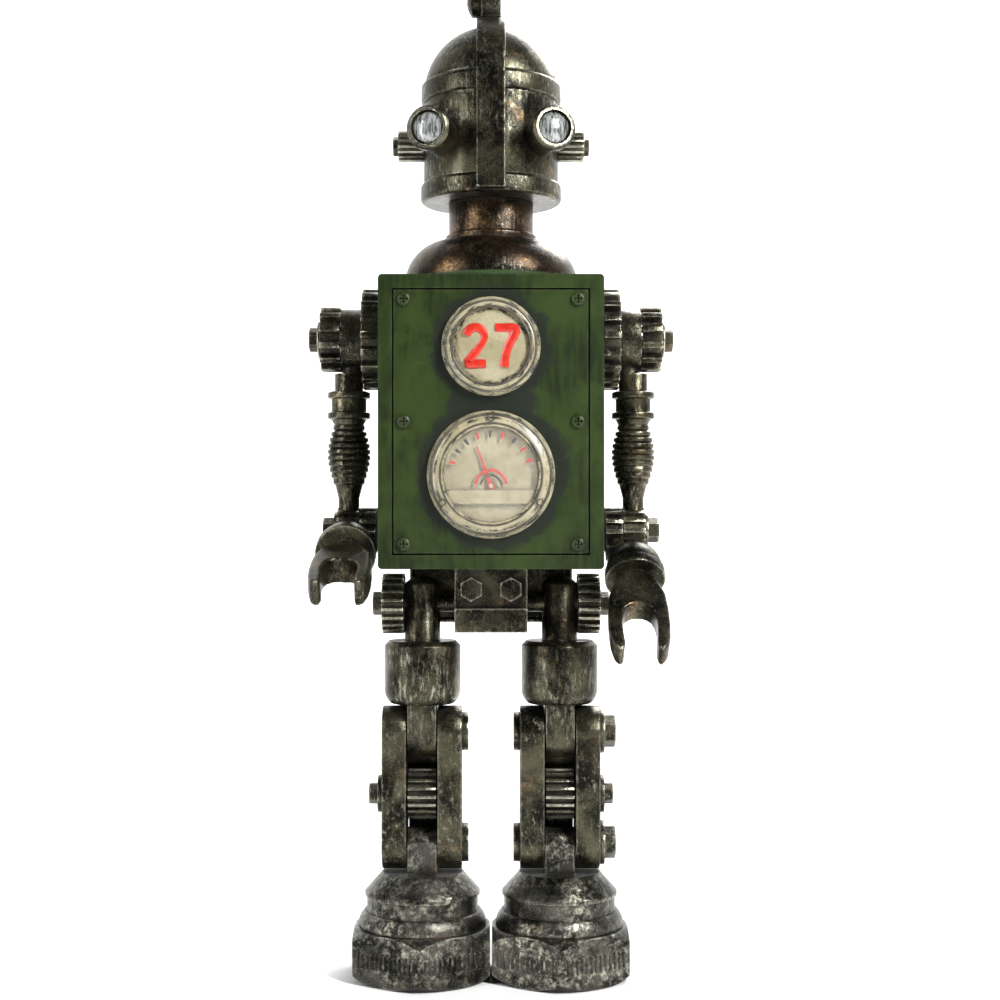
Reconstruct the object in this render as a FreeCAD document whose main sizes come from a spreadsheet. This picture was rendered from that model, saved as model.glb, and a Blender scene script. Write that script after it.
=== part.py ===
"""Clockwork walking robot, 300 mm tall, as a parametric document of separate pieces.

The robot stands on z = 0 with its soles centred on the origin and faces -Y.
Its own left side is +X.  All sizes are millimetres.
"""
import FreeCAD, Part
import Sketcher
import math
import os

# ---------------------------------------------------------------- driving dimensions
SIZES = {
    # feet
    "foot_flats": 40.4, "foot_gap": 0.3, "foot_height": 15.0, "foot_bevel": 3.0,
    "instep_margin": 1.2, "instep_taper": 1.8, "instep_height": 4.6,
    "collar_inset": 2.4, "collar_height": 5.6, "collar_lip": 0.6, "cone_height": 5.8,
    "cone_inset": 4.6,
    # shins
    "ankle_rise": 8.4, "shin_length": 33.3, "shin_axle_rise": 14.6, "knee_rise": 8.5,
    "shin_plate": 7.3, "shin_slot": 9.2, "shin_depth": 15.4, "tongue_side_gap": 0.3,
    "ankle_tongue_radius": 4.6, "pin_radius": 1.6, "boss_radius": 5.7, "boss_height": 1.9,
    "washer_radius": 6.5, "washer_height": 1.4, "nut_radius": 4.8, "nut_height": 3.4,
    "mid_washer_radius": 5.5, "mid_nut_radius": 3.1, "mid_nut_height": 2.72,
    "shin_gear_radius": 7.4, "shin_tooth": 1.4,
    "calf_plate": 1.5, "calf_low_gap": 5.6, "calf_high_gap": 6.7,
    # thighs and hips
    "thigh_length": 38.3, "thigh_radius": 11.4, "thigh_bell": 3.8, "thigh_chamfer": 1.4,
    "thigh_clearance": 11.0, "thigh_bottom_radius": 9.3, "hip_lug_radius": 5.3,
    "hip_lug_rise": 8.4, "hip_lug_crown": 2.5, "hip_gear_radius": 9.0, "hip_tooth": 1.5,
    "hip_gear_width": 6.6, "hip_axle_radius": 2.5, "hip_gear_gap": 0.05, "hip_end_play": 0.3,
    "hip_head_radius": 3.6, "hip_head_height": 2.6,
    # pelvis
    "pelvis_leg_gap": 4.5, "pelvis_depth": 24.0, "pelvis_drop": 8.0, "pelvis_step_drop": 1.0,
    "pelvis_rise": 11.0, "pelvis_recess": 2.4, "pelvis_bolt_radius": 3.6,
    "pelvis_bolt_height": 1.6, "pelvis_bolt_shank": 5.0, "pelvis_bolt_rise": 4.6,
    "pelvis_bolt_offset": 5.8,
    # torso
    "torso_width": 64.4, "torso_depth": 52.0, "torso_height": 84.0,
    "torso_wall": 1.6, "torso_corner": 1.2, "frame_border": 4.0, "cover_ledge": 2.0,
    "cover_gap": 0.5, "cover_thickness": 1.6, "back_gap": 0.1,
    "screw_side_margin": 3.4, "screw_end_margin": 3.15, "screw_radius": 2.0,
    "screw_head": 1.2, "screw_shank": 1.0, "screw_cross": 0.5,
    # dials
    "badge_share": 0.1679, "badge_rise_share": 0.7536, "badge_ring": 3.3, "badge_height": 3.2,
    "gauge_share": 0.2167, "gauge_rise_share": 0.3202, "gauge_ring": 4.6, "gauge_height": 3.4,
    "face_fit": 0.05, "gauge_screw_radius": 0.5, "gauge_screw_head": 1.1,
    "needle_length": 12.0, "needle_drop": 3.2, "needle_lean": 20.0, "needle_post": 0.7,
    "needle_boss": 1.1, "needle_plate": 0.4, "gauge_bar": 4.0, "gauge_bar_drop": 1.2,
    "gauge_bar_rise": 1.4, "glass_rise": 2.2, "glass_wall": 0.6, "glass_drop": 0.8,
    # shoulders and neck
    "dome_margin": 0.4, "dome_skirt": 2.6, "dome_rise": 10.6, "neck_radius": 12.6,
    "neck_length": 11.2, "neck_pin_radius": 4.0, "neck_pin_rise": 9.0, "running_fit": 0.06,
    # head
    "drum_radius": 20.1, "drum_rise": 30.0, "chin_overhang": 0.9, "chin_height": 5.7,
    "head_gap": 0.3, "band_overhang": 0.8, "band_height": 5.9, "skull_inset": 0.3,
    "skull_height": 16.9, "head_wall": 1.6,
    "crest_width": 8.4, "crest_front": 4.2, "crest_rise": 2.8, "crest_arc": 25.0,
    "crest_hollow": 5.1, "crest_shoulder": 2.0, "fin_width": 5.8, "fin_radius": 9.0,
    "fin_rise": 5.0, "rivet_radius": 4.3, "rivet_height": 4.3, "rivet_edge": 2.7,
    "eye_inset": 1.9, "eye_rise": 17.2, "eye_splay": 17.0, "eye_radius": 6.4,
    "eye_length": 16.0, "eye_reach": 6.9, "eye_lip": 1.0, "lens_radius": 4.9, "lens_seat": 2.5,
    "ear_rise": 17.6, "ear_radius": 4.5, "ear_length": 7.6, "ear_knurl": 0.7, "ear_peg": 2.0,
    "ear_nut_radius": 2.9, "ear_nut_height": 1.6,
    # arms
    "shoulder_drop": 16.0, "arm_side_gap": 0.8, "shoulder_gear_radius": 15.0,
    "shoulder_tooth": 2.6, "shoulder_gear_width": 5.2, "barrel_radius": 9.0,
    "barrel_width": 6.4, "outer_gear_radius": 9.7, "outer_tooth": 2.4,
    "outer_gear_width": 6.2, "shoulder_axle_radius": 3.0, "arm_end_play": 0.2,
    "arm_bolt_radius": 3.7, "arm_bolt_height": 2.6, "arm_washer_radius": 5.4,
    "arm_washer_height": 0.8, "arm_axis_inset": 4.4, "elbow_rise": 22.0,
    "bulb_radius": 6.4, "bulb_rise": 13.5, "bulb_drop": 25.5, "arm_waist": 4.4,
    "arm_wrist": 3.1, "rib_depth": 0.6, "arm_ring_radius": 6.3, "arm_ring_seat": 5.2,
    "arm_neck": 4.2,
    "elbow_gear_radius": 6.75, "elbow_tooth": 1.3, "elbow_inner_width": 5.0,
    "elbow_outer_width": 6.4, "elbow_gap": 0.3, "elbow_pin_radius": 1.8,
    "elbow_washer": 1.0, "elbow_head": 3.4,
    "cuff_radius": 8.8, "cuff_side_gap": 1.0, "cuff_clearance": 1.65, "cuff_length": 12.1,
    "cuff_crown": 3.0, "socket_depth": 4.0, "claw_shank_radius": 4.2, "palm_reach": 9.5,
    "jaw_length": 20.0, "jaw_root": 3.0, "claw_opening": 9.0, "claw_width": 17.4,
    "claw_thickness": 8.4, "right_arm_bend": 70.0, "left_arm_bend": 45.0,
    # clockwork
    "gear_module": 0.8, "great_wheel_teeth": 40.0, "pinion_teeth": 10.0,
    "second_wheel_teeth": 32.0, "governor_teeth": 8.0, "wheel_width": 2.0,
    "arbor_radius": 2.4, "thin_arbor_radius": 1.2, "motor_plate": 1.4, "motor_inset": 11.0,
    "motor_side_gap": 7.2, "motor_low_gap": 4.0, "motor_high_gap": 24.0,
    "pillar_radius": 2.2, "pillar_inset": 4.0,
    "spring_inner": 3.4, "spring_strip": 0.5, "spring_pitch": 1.9, "spring_share": 0.3,
    "spring_gap": 7.5,
    "key_reach": 22.0, "key_width": 30.0, "key_plate": 2.0, "key_gap": 2.0, "key_hub": 9.0,
}

# places and sizes that follow from the ones above, as sheet formulas
FOLLOWING = {
    "leg_spacing": "foot_flats / 2 + foot_gap",
    "instep_radius": "foot_flats / 2 - instep_margin",
    "instep_top_radius": "instep_radius - instep_taper",
    "collar_radius": "instep_radius - collar_inset",
    "cone_top_radius": "collar_radius - cone_inset",
    "ankle_level": "foot_height + instep_height + collar_height + cone_height + ankle_rise",
    "knee_level": "ankle_level + shin_length",
    "shin_axle_level": "ankle_level + shin_axle_rise",
    "calf_low": "ankle_level + calf_low_gap",
    "calf_high": "knee_level - calf_high_gap",
    "thigh_bottom": "knee_level + knee_rise",
    "thigh_shoulder": "thigh_bottom + thigh_bell",
    "hip_level": "knee_level + thigh_length",
    "thigh_top": "hip_level - thigh_clearance",
    "pelvis_width": "2 * (leg_spacing - hip_lug_radius - pelvis_leg_gap)",
    "pelvis_bottom": "hip_level - pelvis_drop",
    "pelvis_step": "hip_level - pelvis_step_drop",
    "pelvis_bolt_level": "hip_level + pelvis_bolt_rise",
    "torso_bottom": "hip_level + pelvis_rise",
    "torso_top": "torso_bottom + torso_height",
    "screw_offset": "torso_width / 2 - frame_border - screw_side_margin",
    "screw_low": "torso_bottom + frame_border + screw_end_margin",
    "screw_high": "torso_top - frame_border - screw_end_margin",
    "screw_mid": "(screw_low + screw_high) / 2",
    "badge_level": "torso_bottom + torso_height * badge_rise_share",
    "badge_radius": "torso_height * badge_share",
    "badge_face_radius": "badge_radius - badge_ring",
    "gauge_level": "torso_bottom + torso_height * gauge_rise_share",
    "gauge_radius": "torso_height * gauge_share",
    "gauge_face_radius": "gauge_radius - gauge_ring",
    "dome_radius": "torso_depth / 2 - dome_margin",
    "dome_top": "torso_top + dome_skirt + dome_rise",
    "neck_top": "dome_top + neck_length",
    "chin_radius": "drum_radius + chin_overhang",
    "drum_top": "neck_top + drum_rise",
    "band_radius": "drum_radius + band_overhang",
    "band_top": "drum_top + band_height",
    "skull_radius": "drum_radius - skull_inset",
    "skull_top": "band_top + skull_height",
    "crest_top": "skull_top + crest_rise",
    "fin_level": "crest_top + fin_rise",
    "eye_offset": "drum_radius - eye_inset",
    "eye_level": "neck_top + eye_rise",
    "eye_front": "drum_radius + eye_reach",
    "ear_level": "neck_top + ear_rise",
    "ear_reach": "drum_radius + ear_length",
    "shoulder_level": "torso_top - shoulder_drop",
    "arm_axis": "torso_width / 2 + arm_side_gap + shoulder_gear_width + arm_axis_inset",
    "elbow_level": "hip_level + elbow_rise",
    "bulb_bottom": "elbow_level + bulb_rise",
    "bulb_top": "shoulder_level - bulb_drop",
    "cuff_offset": "arm_axis - torso_width / 2 - cuff_side_gap - cuff_radius",
    "cuff_near": "elbow_gear_radius + cuff_clearance",
    "cuff_far": "cuff_near + cuff_length",
    "claw_palm": "cuff_far + palm_reach",
    "claw_reach": "claw_palm + jaw_length",
    "arbor_level": "(torso_bottom + torso_top) / 2",
    "motor_back": "torso_depth / 2 - motor_inset",
    "motor_front": "motor_inset - torso_depth / 2",
    "spring_width": "(motor_back - motor_front) * spring_share",
    "motor_width": "torso_width - 2 * motor_side_gap",
    "motor_bottom": "torso_bottom + motor_low_gap",
    "motor_top": "torso_top - motor_high_gap",
}
SPRING_TURNS = 6


class Size:
    """A number together with the sheet expression that gives it."""

    def __init__(self, value, text):
        self.value = float(value)
        self.text = text

    def __add__(self, other):
        other = as_size(other)
        return Size(self.value + other.value, f"({self.text} + {other.text})")

    def __sub__(self, other):
        other = as_size(other)
        return Size(self.value - other.value, f"({self.text} - {other.text})")

    def __mul__(self, other):
        other = as_size(other)
        return Size(self.value * other.value, f"({self.text} * {other.text})")

    def __truediv__(self, other):
        other = as_size(other)
        return Size(self.value / other.value, f"({self.text} / {other.text})")

    def __neg__(self):
        return Size(-self.value, f"(0 - {self.text})")

    __radd__ = __add__
    __rmul__ = __mul__

    def __rsub__(self, other):
        return as_size(other) - self


def as_size(number):
    return number if isinstance(number, Size) else Size(number, repr(float(number)))


doc = FreeCAD.newDocument("walking_robot")
sheet = doc.addObject("Spreadsheet::Sheet", "sizes")
cells = {**{alias: str(number) for alias, number in SIZES.items()},
         **{alias: f"={formula}" for alias, formula in FOLLOWING.items()}}
for row, (alias, content) in enumerate(cells.items(), start=1):
    sheet.set(f"A{row}", alias)
    sheet.set(f"B{row}", content)
    sheet.setAlias(f"B{row}", alias)
doc.recompute()


def size(alias):
    """The named value, as a number with its sheet expression."""
    return Size(sheet.get(alias), f"sizes.{alias}")


def bind(thing, prop, value):
    """Give a property its size through the sheet."""
    value = as_size(value)
    thing.setExpression(prop, value.text)


# ---------------------------------------------------------------- makers
TURNS = {
    "z": FreeCAD.Rotation(),
    "-z": FreeCAD.Rotation(FreeCAD.Vector(1, 0, 0), 180),
    "x": FreeCAD.Rotation(FreeCAD.Vector(0, 1, 0), 90),
    "-x": FreeCAD.Rotation(FreeCAD.Vector(0, 1, 0), -90),
    "y": FreeCAD.Rotation(FreeCAD.Vector(1, 0, 0), -90),
    "-y": FreeCAD.Rotation(FreeCAD.Vector(1, 0, 0), 90),
}
pieces = []


def place(thing, x=0, y=0, z=0, along="z", spin=0.0):
    """Put an object at (x, y, z) with its own Z along the named axis, spun about it first."""
    about_own_axis = FreeCAD.Rotation(FreeCAD.Vector(0, 0, 1), spin)
    thing.Placement = FreeCAD.Placement(FreeCAD.Vector(), TURNS[along].multiply(about_own_axis))
    for letter, value in zip("xyz", (x, y, z)):
        bind(thing, f"Placement.Base.{letter}", value)
    return thing


def piece(thing, node):
    """Name a finished sub-part; its Label names its file."""
    thing.Label = node
    pieces.append(thing)
    return thing


def box(width, depth, height, x=0, y=0, z=0):
    """A block centred on x and y, standing on z."""
    block = doc.addObject("Part::Box", "block")
    width, depth, height = as_size(width), as_size(depth), as_size(height)
    for prop, value in (("Length", width), ("Width", depth), ("Height", height)):
        bind(block, prop, value)
    return place(block, as_size(x) - width / 2, as_size(y) - depth / 2, z)


def rod(radius, length, x=0, y=0, z=0, along="z"):
    """A round bar that starts at (x, y, z) and runs along the named axis."""
    bar = doc.addObject("Part::Cylinder", "rod")
    bind(bar, "Radius", radius)
    bind(bar, "Height", length)
    return place(bar, x, y, z, along)


def hexagon(radius, length, x=0, y=0, z=0, along="z", spin=0.0):
    """A six-sided bar, radius to its corners."""
    bar = doc.addObject("Part::Prism", "hexagon")
    bar.Polygon = 6
    bind(bar, "Circumradius", radius)
    bind(bar, "Height", length)
    return place(bar, x, y, z, along, spin)


def fuse(*things):
    joined = doc.addObject("Part::MultiFuse", "joined")
    joined.Shapes = list(things)
    joined.Refine = True
    return joined


def cut(base, *tools):
    left_over = doc.addObject("Part::Cut", "left_over")
    left_over.Base = base
    left_over.Tool = tools[0] if len(tools) == 1 else fuse(*tools)
    return left_over


def group(*things):
    """Separate solids that share one node, such as a set of screws."""
    together = doc.addObject("Part::Compound", "together")
    together.Links = list(things)
    return together


def cap(radius, height, z=0):
    """The top of a ball: a cap of the given rim radius and height, its rim at z."""
    radius, height = as_size(radius), as_size(height)
    ball_radius = (radius * radius + height * height) / (height * 2)
    ball = doc.addObject("Part::Sphere", "ball")
    bind(ball, "Radius", ball_radius)
    place(ball, 0, 0, as_size(z) + height - ball_radius)
    top = doc.addObject("Part::Common", "cap")
    top.Base, top.Tool = ball, rod(radius, height, 0, 0, z)
    return top


def domed_disc(radius, edge, height, z=0):
    """A disc whose top is a cap: edge is its height at the rim, height its full height."""
    return fuse(rod(radius, edge, 0, 0, z), cap(radius, as_size(height) - edge, as_size(z) + edge))


def pin_to_axis(sketch, edge, end, x, y):
    """Fix one end of an edge at (x, y)."""
    if abs(x.value) < 1e-9:
        sketch.addConstraint(Sketcher.Constraint("PointOnObject", edge, end, -2))
    else:
        number = sketch.addConstraint(Sketcher.Constraint("DistanceX", -1, 1, edge, end, x.value))
        sketch.setExpression(f"Constraints[{number}]", x.text)
    if abs(y.value) < 1e-9:
        sketch.addConstraint(Sketcher.Constraint("PointOnObject", edge, end, -1))
    else:
        number = sketch.addConstraint(Sketcher.Constraint("DistanceY", -1, 1, edge, end, y.value))
        sketch.setExpression(f"Constraints[{number}]", y.text)


def new_sketch(body, plane, name="outline"):
    sketch = body.newObject("Sketcher::SketchObject", name)
    for feature in body.Origin.OriginFeatures:
        if feature.Role == plane:
            sketch.AttachmentSupport = (feature, [""])
    sketch.MapMode = "FlatFace"
    return sketch


def draw(sketch, outline):
    """Close an outline.  Each point is (x, y) or (x, y, bend): bend is the radius of the arc
    that leaves the point, positive when the arc's centre is on the left of the way on."""
    points = [(as_size(p[0]), as_size(p[1])) for p in outline]
    bends = [as_size(p[2]) if len(p) > 2 else None for p in outline]
    first = sketch.GeometryCount
    count = len(points)
    vectors = [FreeCAD.Vector(x.value, y.value, 0) for x, y in points]
    normal = FreeCAD.Vector(0, 0, 1)
    for i, bend in enumerate(bends):
        start, end = vectors[i], vectors[(i + 1) % count]
        if bend is None:
            sketch.addGeometry(Part.LineSegment(start, end), False)
            continue
        radius = abs(bend.value)
        chord = end - start
        side = 1 if bend.value > 0 else -1
        left = FreeCAD.Vector(-chord.y, chord.x, 0).normalize()
        apex_height = radius - math.sqrt(radius ** 2 - (chord.Length / 2) ** 2)
        middle = (start + end) * 0.5 - left * side * apex_height
        arc = Part.Arc(start, middle, end).toShape().Curve
        centre = arc.Center
        circle = Part.Circle(centre, normal, radius)
        a, b = (start, end) if side > 0 else (end, start)
        angle_a = math.atan2(a.y - centre.y, a.x - centre.x)
        angle_b = math.atan2(b.y - centre.y, b.x - centre.x)
        sketch.addGeometry(Part.ArcOfCircle(circle, angle_a, angle_b), False)
    for i, bend in enumerate(bends):
        edge, following = first + i, first + (i + 1) % count
        out_end = 1 if bends[i] is not None and bends[i].value < 0 else 2
        next_bend = bends[(i + 1) % count]
        in_end = 2 if next_bend is not None and next_bend.value < 0 else 1
        sketch.addConstraint(Sketcher.Constraint("Coincident", edge, out_end, following, in_end))
    for i, bend in enumerate(bends):
        start_end = 2 if bend is not None and bend.value < 0 else 1
        pin_to_axis(sketch, first + i, start_end, *points[i])
        if bend is not None:
            number = sketch.addConstraint(
                Sketcher.Constraint("Radius", first + i, abs(bend.value)))
            sign = "" if bend.value > 0 else "0 - "
            sketch.setExpression(f"Constraints[{number}]", f"{sign}{bend.text}")


def ring_sketch(sketch, *radii):
    """Circles round the sketch's origin; a radius of 0 is left out."""
    for radius in (as_size(radius) for radius in radii):
        if radius.value == 0:
            continue
        edge = sketch.addGeometry(
            Part.Circle(FreeCAD.Vector(), FreeCAD.Vector(0, 0, 1), radius.value), False)
        sketch.addConstraint(Sketcher.Constraint("Coincident", edge, 3, -1, 1))
        number = sketch.addConstraint(Sketcher.Constraint("Radius", edge, radius.value))
        sketch.setExpression(f"Constraints[{number}]", radius.text)


def turned(outline):
    """A lathe-turned body: the outline is (radius, height) pairs, spun about its Z axis."""
    body = doc.addObject("PartDesign::Body", "turned")
    sketch = new_sketch(body, "XZ_Plane")
    draw(sketch, outline)
    spun = body.newObject("PartDesign::Revolution", "spun")
    spun.Profile = sketch
    spun.ReferenceAxis = (sketch, ["V_Axis"])
    spun.Angle = 360
    return body


def padded(outline, thickness, plane="XY_Plane"):
    """A flat outline given a thickness, half to each side of its plane."""
    body = doc.addObject("PartDesign::Body", "padded")
    sketch = new_sketch(body, plane)
    draw(sketch, outline)
    pad = body.newObject("PartDesign::Pad", "pad")
    pad.Profile = sketch
    bind(pad, "Length", thickness)
    pad.Midplane = True
    return body


def ring(outer, inner, thickness):
    """A washer or tube, half its thickness to each side of its plane."""
    body = doc.addObject("PartDesign::Body", "ring")
    sketch = new_sketch(body, "XY_Plane")
    ring_sketch(sketch, outer, inner)
    pad = body.newObject("PartDesign::Pad", "pad")
    pad.Profile = sketch
    bind(pad, "Length", thickness)
    pad.Midplane = True
    return body


def gear(teeth, tip_radius, root_radius, width, bore, gap_at_root=0.5, gap_at_tip=0.66):
    """A spur gear: a disc with one tooth gap cut through it and repeated round its axis.
    The gap shares are parts of the tooth pitch; one gap is centred on the gear's own X."""
    teeth = as_size(teeth)
    body = doc.addObject("PartDesign::Body", "gear")
    disc = new_sketch(body, "XY_Plane", "disc")
    ring_sketch(disc, tip_radius, bore)
    pad = body.newObject("PartDesign::Pad", "pad")
    pad.Profile = disc
    bind(pad, "Length", width)
    pad.Midplane = True
    half_root = root_radius * math.pi * gap_at_root / teeth
    half_tip = tip_radius * math.pi * gap_at_tip / teeth
    beyond = tip_radius + half_tip / 4
    gap = new_sketch(body, "XY_Plane", "gap")
    draw(gap, [(root_radius, -half_root), (beyond, -half_tip),
               (beyond, half_tip), (root_radius, half_root)])
    pocket = body.newObject("PartDesign::Pocket", "pocket")
    pocket.Profile = gap
    pocket.Type = "ThroughAll"
    pocket.Midplane = True
    pattern = body.newObject("PartDesign::PolarPattern", "round")
    pattern.Originals = [pocket]
    for feature in body.Origin.OriginFeatures:
        if feature.Role == "Z_Axis":
            pattern.Axis = (feature, [""])
    pattern.Angle = 360
    bind(pattern, "Occurrences", teeth)
    body.Tip = pattern
    return body


def flat_bar(width, depth, low, high):
    """An upright bar with half-round ends, centred on x, its end centres at low and high."""
    radius = as_size(depth) / 2
    left = as_size(0) - as_size(width) / 2
    return fuse(box(width, depth, high - low, 0, 0, low),
                rod(radius, width, left, 0, low, "x"),
                rod(radius, width, left, 0, high, "x"))


# ---------------------------------------------------------------- legs
def foot(name, x):
    """The big hexagon nut the robot stands on, its two flats facing sideways."""
    corner = size("foot_flats") / math.sqrt(3)
    height, bevel = size("foot_height"), size("foot_bevel")
    rim = size("foot_flats") / 2
    edge = corner + 0.5
    hexagon_bar = hexagon(corner, height, 0, 0, 0, "z", 30)
    envelope = turned([(0, 0), (rim, 0), (edge, bevel), (edge, height - bevel),
                       (rim, height), (0, height)])
    nut = doc.addObject("Part::Common", "nut")
    nut.Base, nut.Tool = hexagon_bar, envelope
    place(nut, x)
    piece(nut, f"{name}_foot")


def instep(name, x):
    """Collar on top of the foot, with the tongue that the ankle pin goes through."""
    low = size("foot_height")
    step = low + size("instep_height")
    rim = step + size("collar_height")
    top = rim + size("cone_height")
    collar, cone = size("collar_radius"), size("cone_top_radius")
    neck, lip = size("instep_top_radius"), collar + size("collar_lip")
    turned_part = turned([(0, low), (size("instep_radius"), low, size("instep_height") * 1.1),
                          (neck, step), (collar, step), (collar, rim - 1), (lip, rim - 1),
                          (lip, rim), (cone, top), (0, top)])
    tongue_width = size("shin_slot") - 2 * size("tongue_side_gap")
    ankle, radius = size("ankle_level"), size("ankle_tongue_radius")
    left = as_size(0) - tongue_width / 2
    solid = fuse(turned_part, box(tongue_width, radius * 2, ankle - top + 1, 0, 0, top - 1),
                 rod(radius, tongue_width, left, 0, ankle, "x"))
    bored = cut(solid, rod(size("pin_radius") + size("running_fit"), tongue_width + 2,
                           left - 1, 0, ankle, "x"))
    place(bored, x)
    piece(bored, f"{name}_instep")


def shin(name, x, side, nuts_outside):
    """Two side plates, the pins through them and the gear that turns between them."""
    plate, slot = size("shin_plate"), size("shin_slot")
    low, high = size("ankle_level"), size("knee_level")
    middle = size("shin_axle_level")
    pin = size("pin_radius")
    offset = (slot + plate) / 2
    outer = slot / 2 + plate
    plates = []
    for where in (offset, -offset):
        bar = flat_bar(plate, size("shin_depth"), low, high)
        holes = [rod(pin, plate + 2, -plate / 2 - 1, 0, level, "x")
                 for level in (low, middle, high)]
        bored = cut(bar, *holes)
        plates.append(place(bored, where))
    calf_width = slot + plate
    calf_back = (size("shin_depth") + size("calf_plate")) / 2
    plates.append(box(calf_width, size("calf_plate"), size("calf_high") - size("calf_low"),
                      0, calf_back, size("calf_low")))
    piece(place(group(*plates), x), f"{name}_shin_plates")

    inner_way = "-x" if side > 0 else "x"
    outer_way = "x" if side > 0 else "-x"
    pins, nuts = [], []
    for level in (low, high):
        if nuts_outside:
            start = outer + size("washer_height") + size("nut_height")
        else:
            start = outer
        length = start + outer + size("boss_height")
        pins.append(fuse(rod(pin, length, start * side, 0, level, inner_way),
                         rod(size("boss_radius"), size("boss_height"),
                             -outer * side, 0, level, inner_way)))
        if nuts_outside:
            washer_end = outer + size("washer_height")
            solid = fuse(rod(size("washer_radius"), size("washer_height"),
                             outer * side, 0, level, outer_way),
                         hexagon(size("nut_radius"), size("nut_height"),
                                 washer_end * side, 0, level, outer_way))
            nuts.append(cut(solid, rod(pin, 20, outer * side, 0, level, outer_way)))
    reach = outer + size("washer_height")
    end = reach + size("mid_nut_height")
    pins.append(rod(pin, end + outer - 1, end * side, 0, middle, inner_way))
    solid = fuse(rod(size("mid_washer_radius"), size("washer_height"),
                     outer * side, 0, middle, outer_way),
                 hexagon(size("mid_nut_radius"), size("mid_nut_height"),
                         reach * side, 0, middle, outer_way))
    nuts.append(cut(solid, rod(pin, 20, outer * side, 0, middle, outer_way)))
    piece(place(group(*pins, *nuts), x), f"{name}_shin_bolts")

    radius = size("shin_gear_radius")
    pinion = gear(18, radius, radius - size("shin_tooth"), slot - 2 * size("tongue_side_gap"),
                  pin + size("running_fit"))
    piece(place(pinion, x, 0, middle, "x"), f"{name}_shin_gear")


def thigh(name, x, side):
    """Turned thigh with a knee tongue below and a hip lug above, and the gear on its hip."""
    bottom, shoulder, top = size("thigh_bottom"), size("thigh_shoulder"), size("thigh_top")
    radius, low_radius = size("thigh_radius"), size("thigh_bottom_radius")
    chamfer = size("thigh_chamfer")
    round_part = turned([(0, bottom), (low_radius, bottom, (shoulder - bottom) * 1.3),
                         (radius, shoulder), (radius, top - chamfer),
                         (radius - chamfer, top), (0, top)])
    tongue = size("shin_slot") - 2 * size("tongue_side_gap")
    knee, hip = size("knee_level"), size("hip_level")
    depth = size("shin_depth")
    lug = size("hip_lug_radius")
    crown = size("hip_lug_crown")
    crown_start = hip + size("hip_lug_rise") - crown
    left = as_size(0) - tongue / 2
    solid = fuse(round_part,
                 box(tongue, depth, bottom + 1 - knee, 0, 0, knee),
                 rod(depth / 2, tongue, left, 0, knee, "x"),
                 rod(lug, crown_start - top + 1, 0, 0, top - 1),
                 cap(lug, crown, crown_start))
    bored = cut(solid,
                rod(size("pin_radius") + size("running_fit"), tongue + 2, left - 1, 0, knee, "x"),
                rod(size("hip_axle_radius") + size("running_fit"), lug * 2 + 2,
                    -lug - 1, 0, hip, "x"))
    piece(place(bored, x), f"{name}_thigh")

    width, radius = size("hip_gear_width"), size("hip_gear_radius")
    hip_gear = gear(20, radius, radius - size("hip_tooth"), width,
                    size("hip_axle_radius") + size("running_fit"))
    centre = size("leg_spacing") + lug + size("hip_gear_gap") + width / 2
    piece(place(hip_gear, centre * side, 0, hip, "x"), f"{name}_hip_gear")


for leg, way in (("left", 1), ("right", -1)):
    across = size("leg_spacing") * way
    foot(leg, across)
    instep(leg, across)
    shin(leg, across, way, nuts_outside=(leg == "left"))
    thigh(leg, across, way)

# ---------------------------------------------------------------- pelvis and hip axle
hip_gear_end = (size("leg_spacing") + size("hip_lug_radius") + size("hip_gear_gap")
                + size("hip_gear_width") + size("hip_end_play"))
hip_reach = hip_gear_end + size("hip_head_height")
axle = fuse(rod(size("hip_axle_radius"), hip_reach * 2, -hip_reach, 0, size("hip_level"), "x"),
            hexagon(size("hip_head_radius"), size("hip_head_height"),
                    hip_gear_end, 0, size("hip_level"), "x"),
            hexagon(size("hip_head_radius"), size("hip_head_height"),
                    -hip_gear_end, 0, size("hip_level"), "-x"))
piece(axle, "hip_axle")

pelvis_front = -size("pelvis_depth") / 2
pelvis_height = size("torso_bottom") - size("pelvis_bottom")
upper_height = size("torso_bottom") - size("pelvis_step")
block = cut(box(size("pelvis_width"), size("pelvis_depth"), pelvis_height,
                0, 0, size("pelvis_bottom")),
            box(size("pelvis_width") + 2, size("pelvis_recess") * 2, upper_height + 1,
                0, pelvis_front, size("pelvis_step")),
            rod(size("hip_axle_radius"), size("pelvis_width") + 2,
                -size("pelvis_width") / 2 - 1, 0, size("hip_level"), "x"),
            *[rod(size("screw_shank"), size("pelvis_bolt_shank") + 1, size("pelvis_bolt_offset") * way,
                  pelvis_front + size("pelvis_recess") - 1, size("pelvis_bolt_level"), "y")
              for way in (1, -1)])
piece(block, "pelvis_block")
bolts = [fuse(hexagon(size("pelvis_bolt_radius"), size("pelvis_bolt_height"),
                      size("pelvis_bolt_offset") * way,
                      pelvis_front + size("pelvis_recess"), size("pelvis_bolt_level"), "-y", 30),
              rod(size("screw_shank"), size("pelvis_bolt_shank"), size("pelvis_bolt_offset") * way,
                  pelvis_front + size("pelvis_recess"), size("pelvis_bolt_level"), "y"))
         for way in (1, -1)]
piece(group(*bolts), "pelvis_bolts")

# ---------------------------------------------------------------- torso
torso_front = -size("torso_depth") / 2
torso_back = size("torso_depth") / 2
torso_height = size("torso_height")
torso_middle = size("torso_bottom") + torso_height / 2
opening_width = size("torso_width") - 2 * size("frame_border")
opening_height = torso_height - 2 * size("frame_border")
inner_width = size("torso_width") - 2 * size("torso_wall")
inner_height = torso_height - 2 * size("torso_wall")
rebate = size("cover_thickness")


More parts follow.
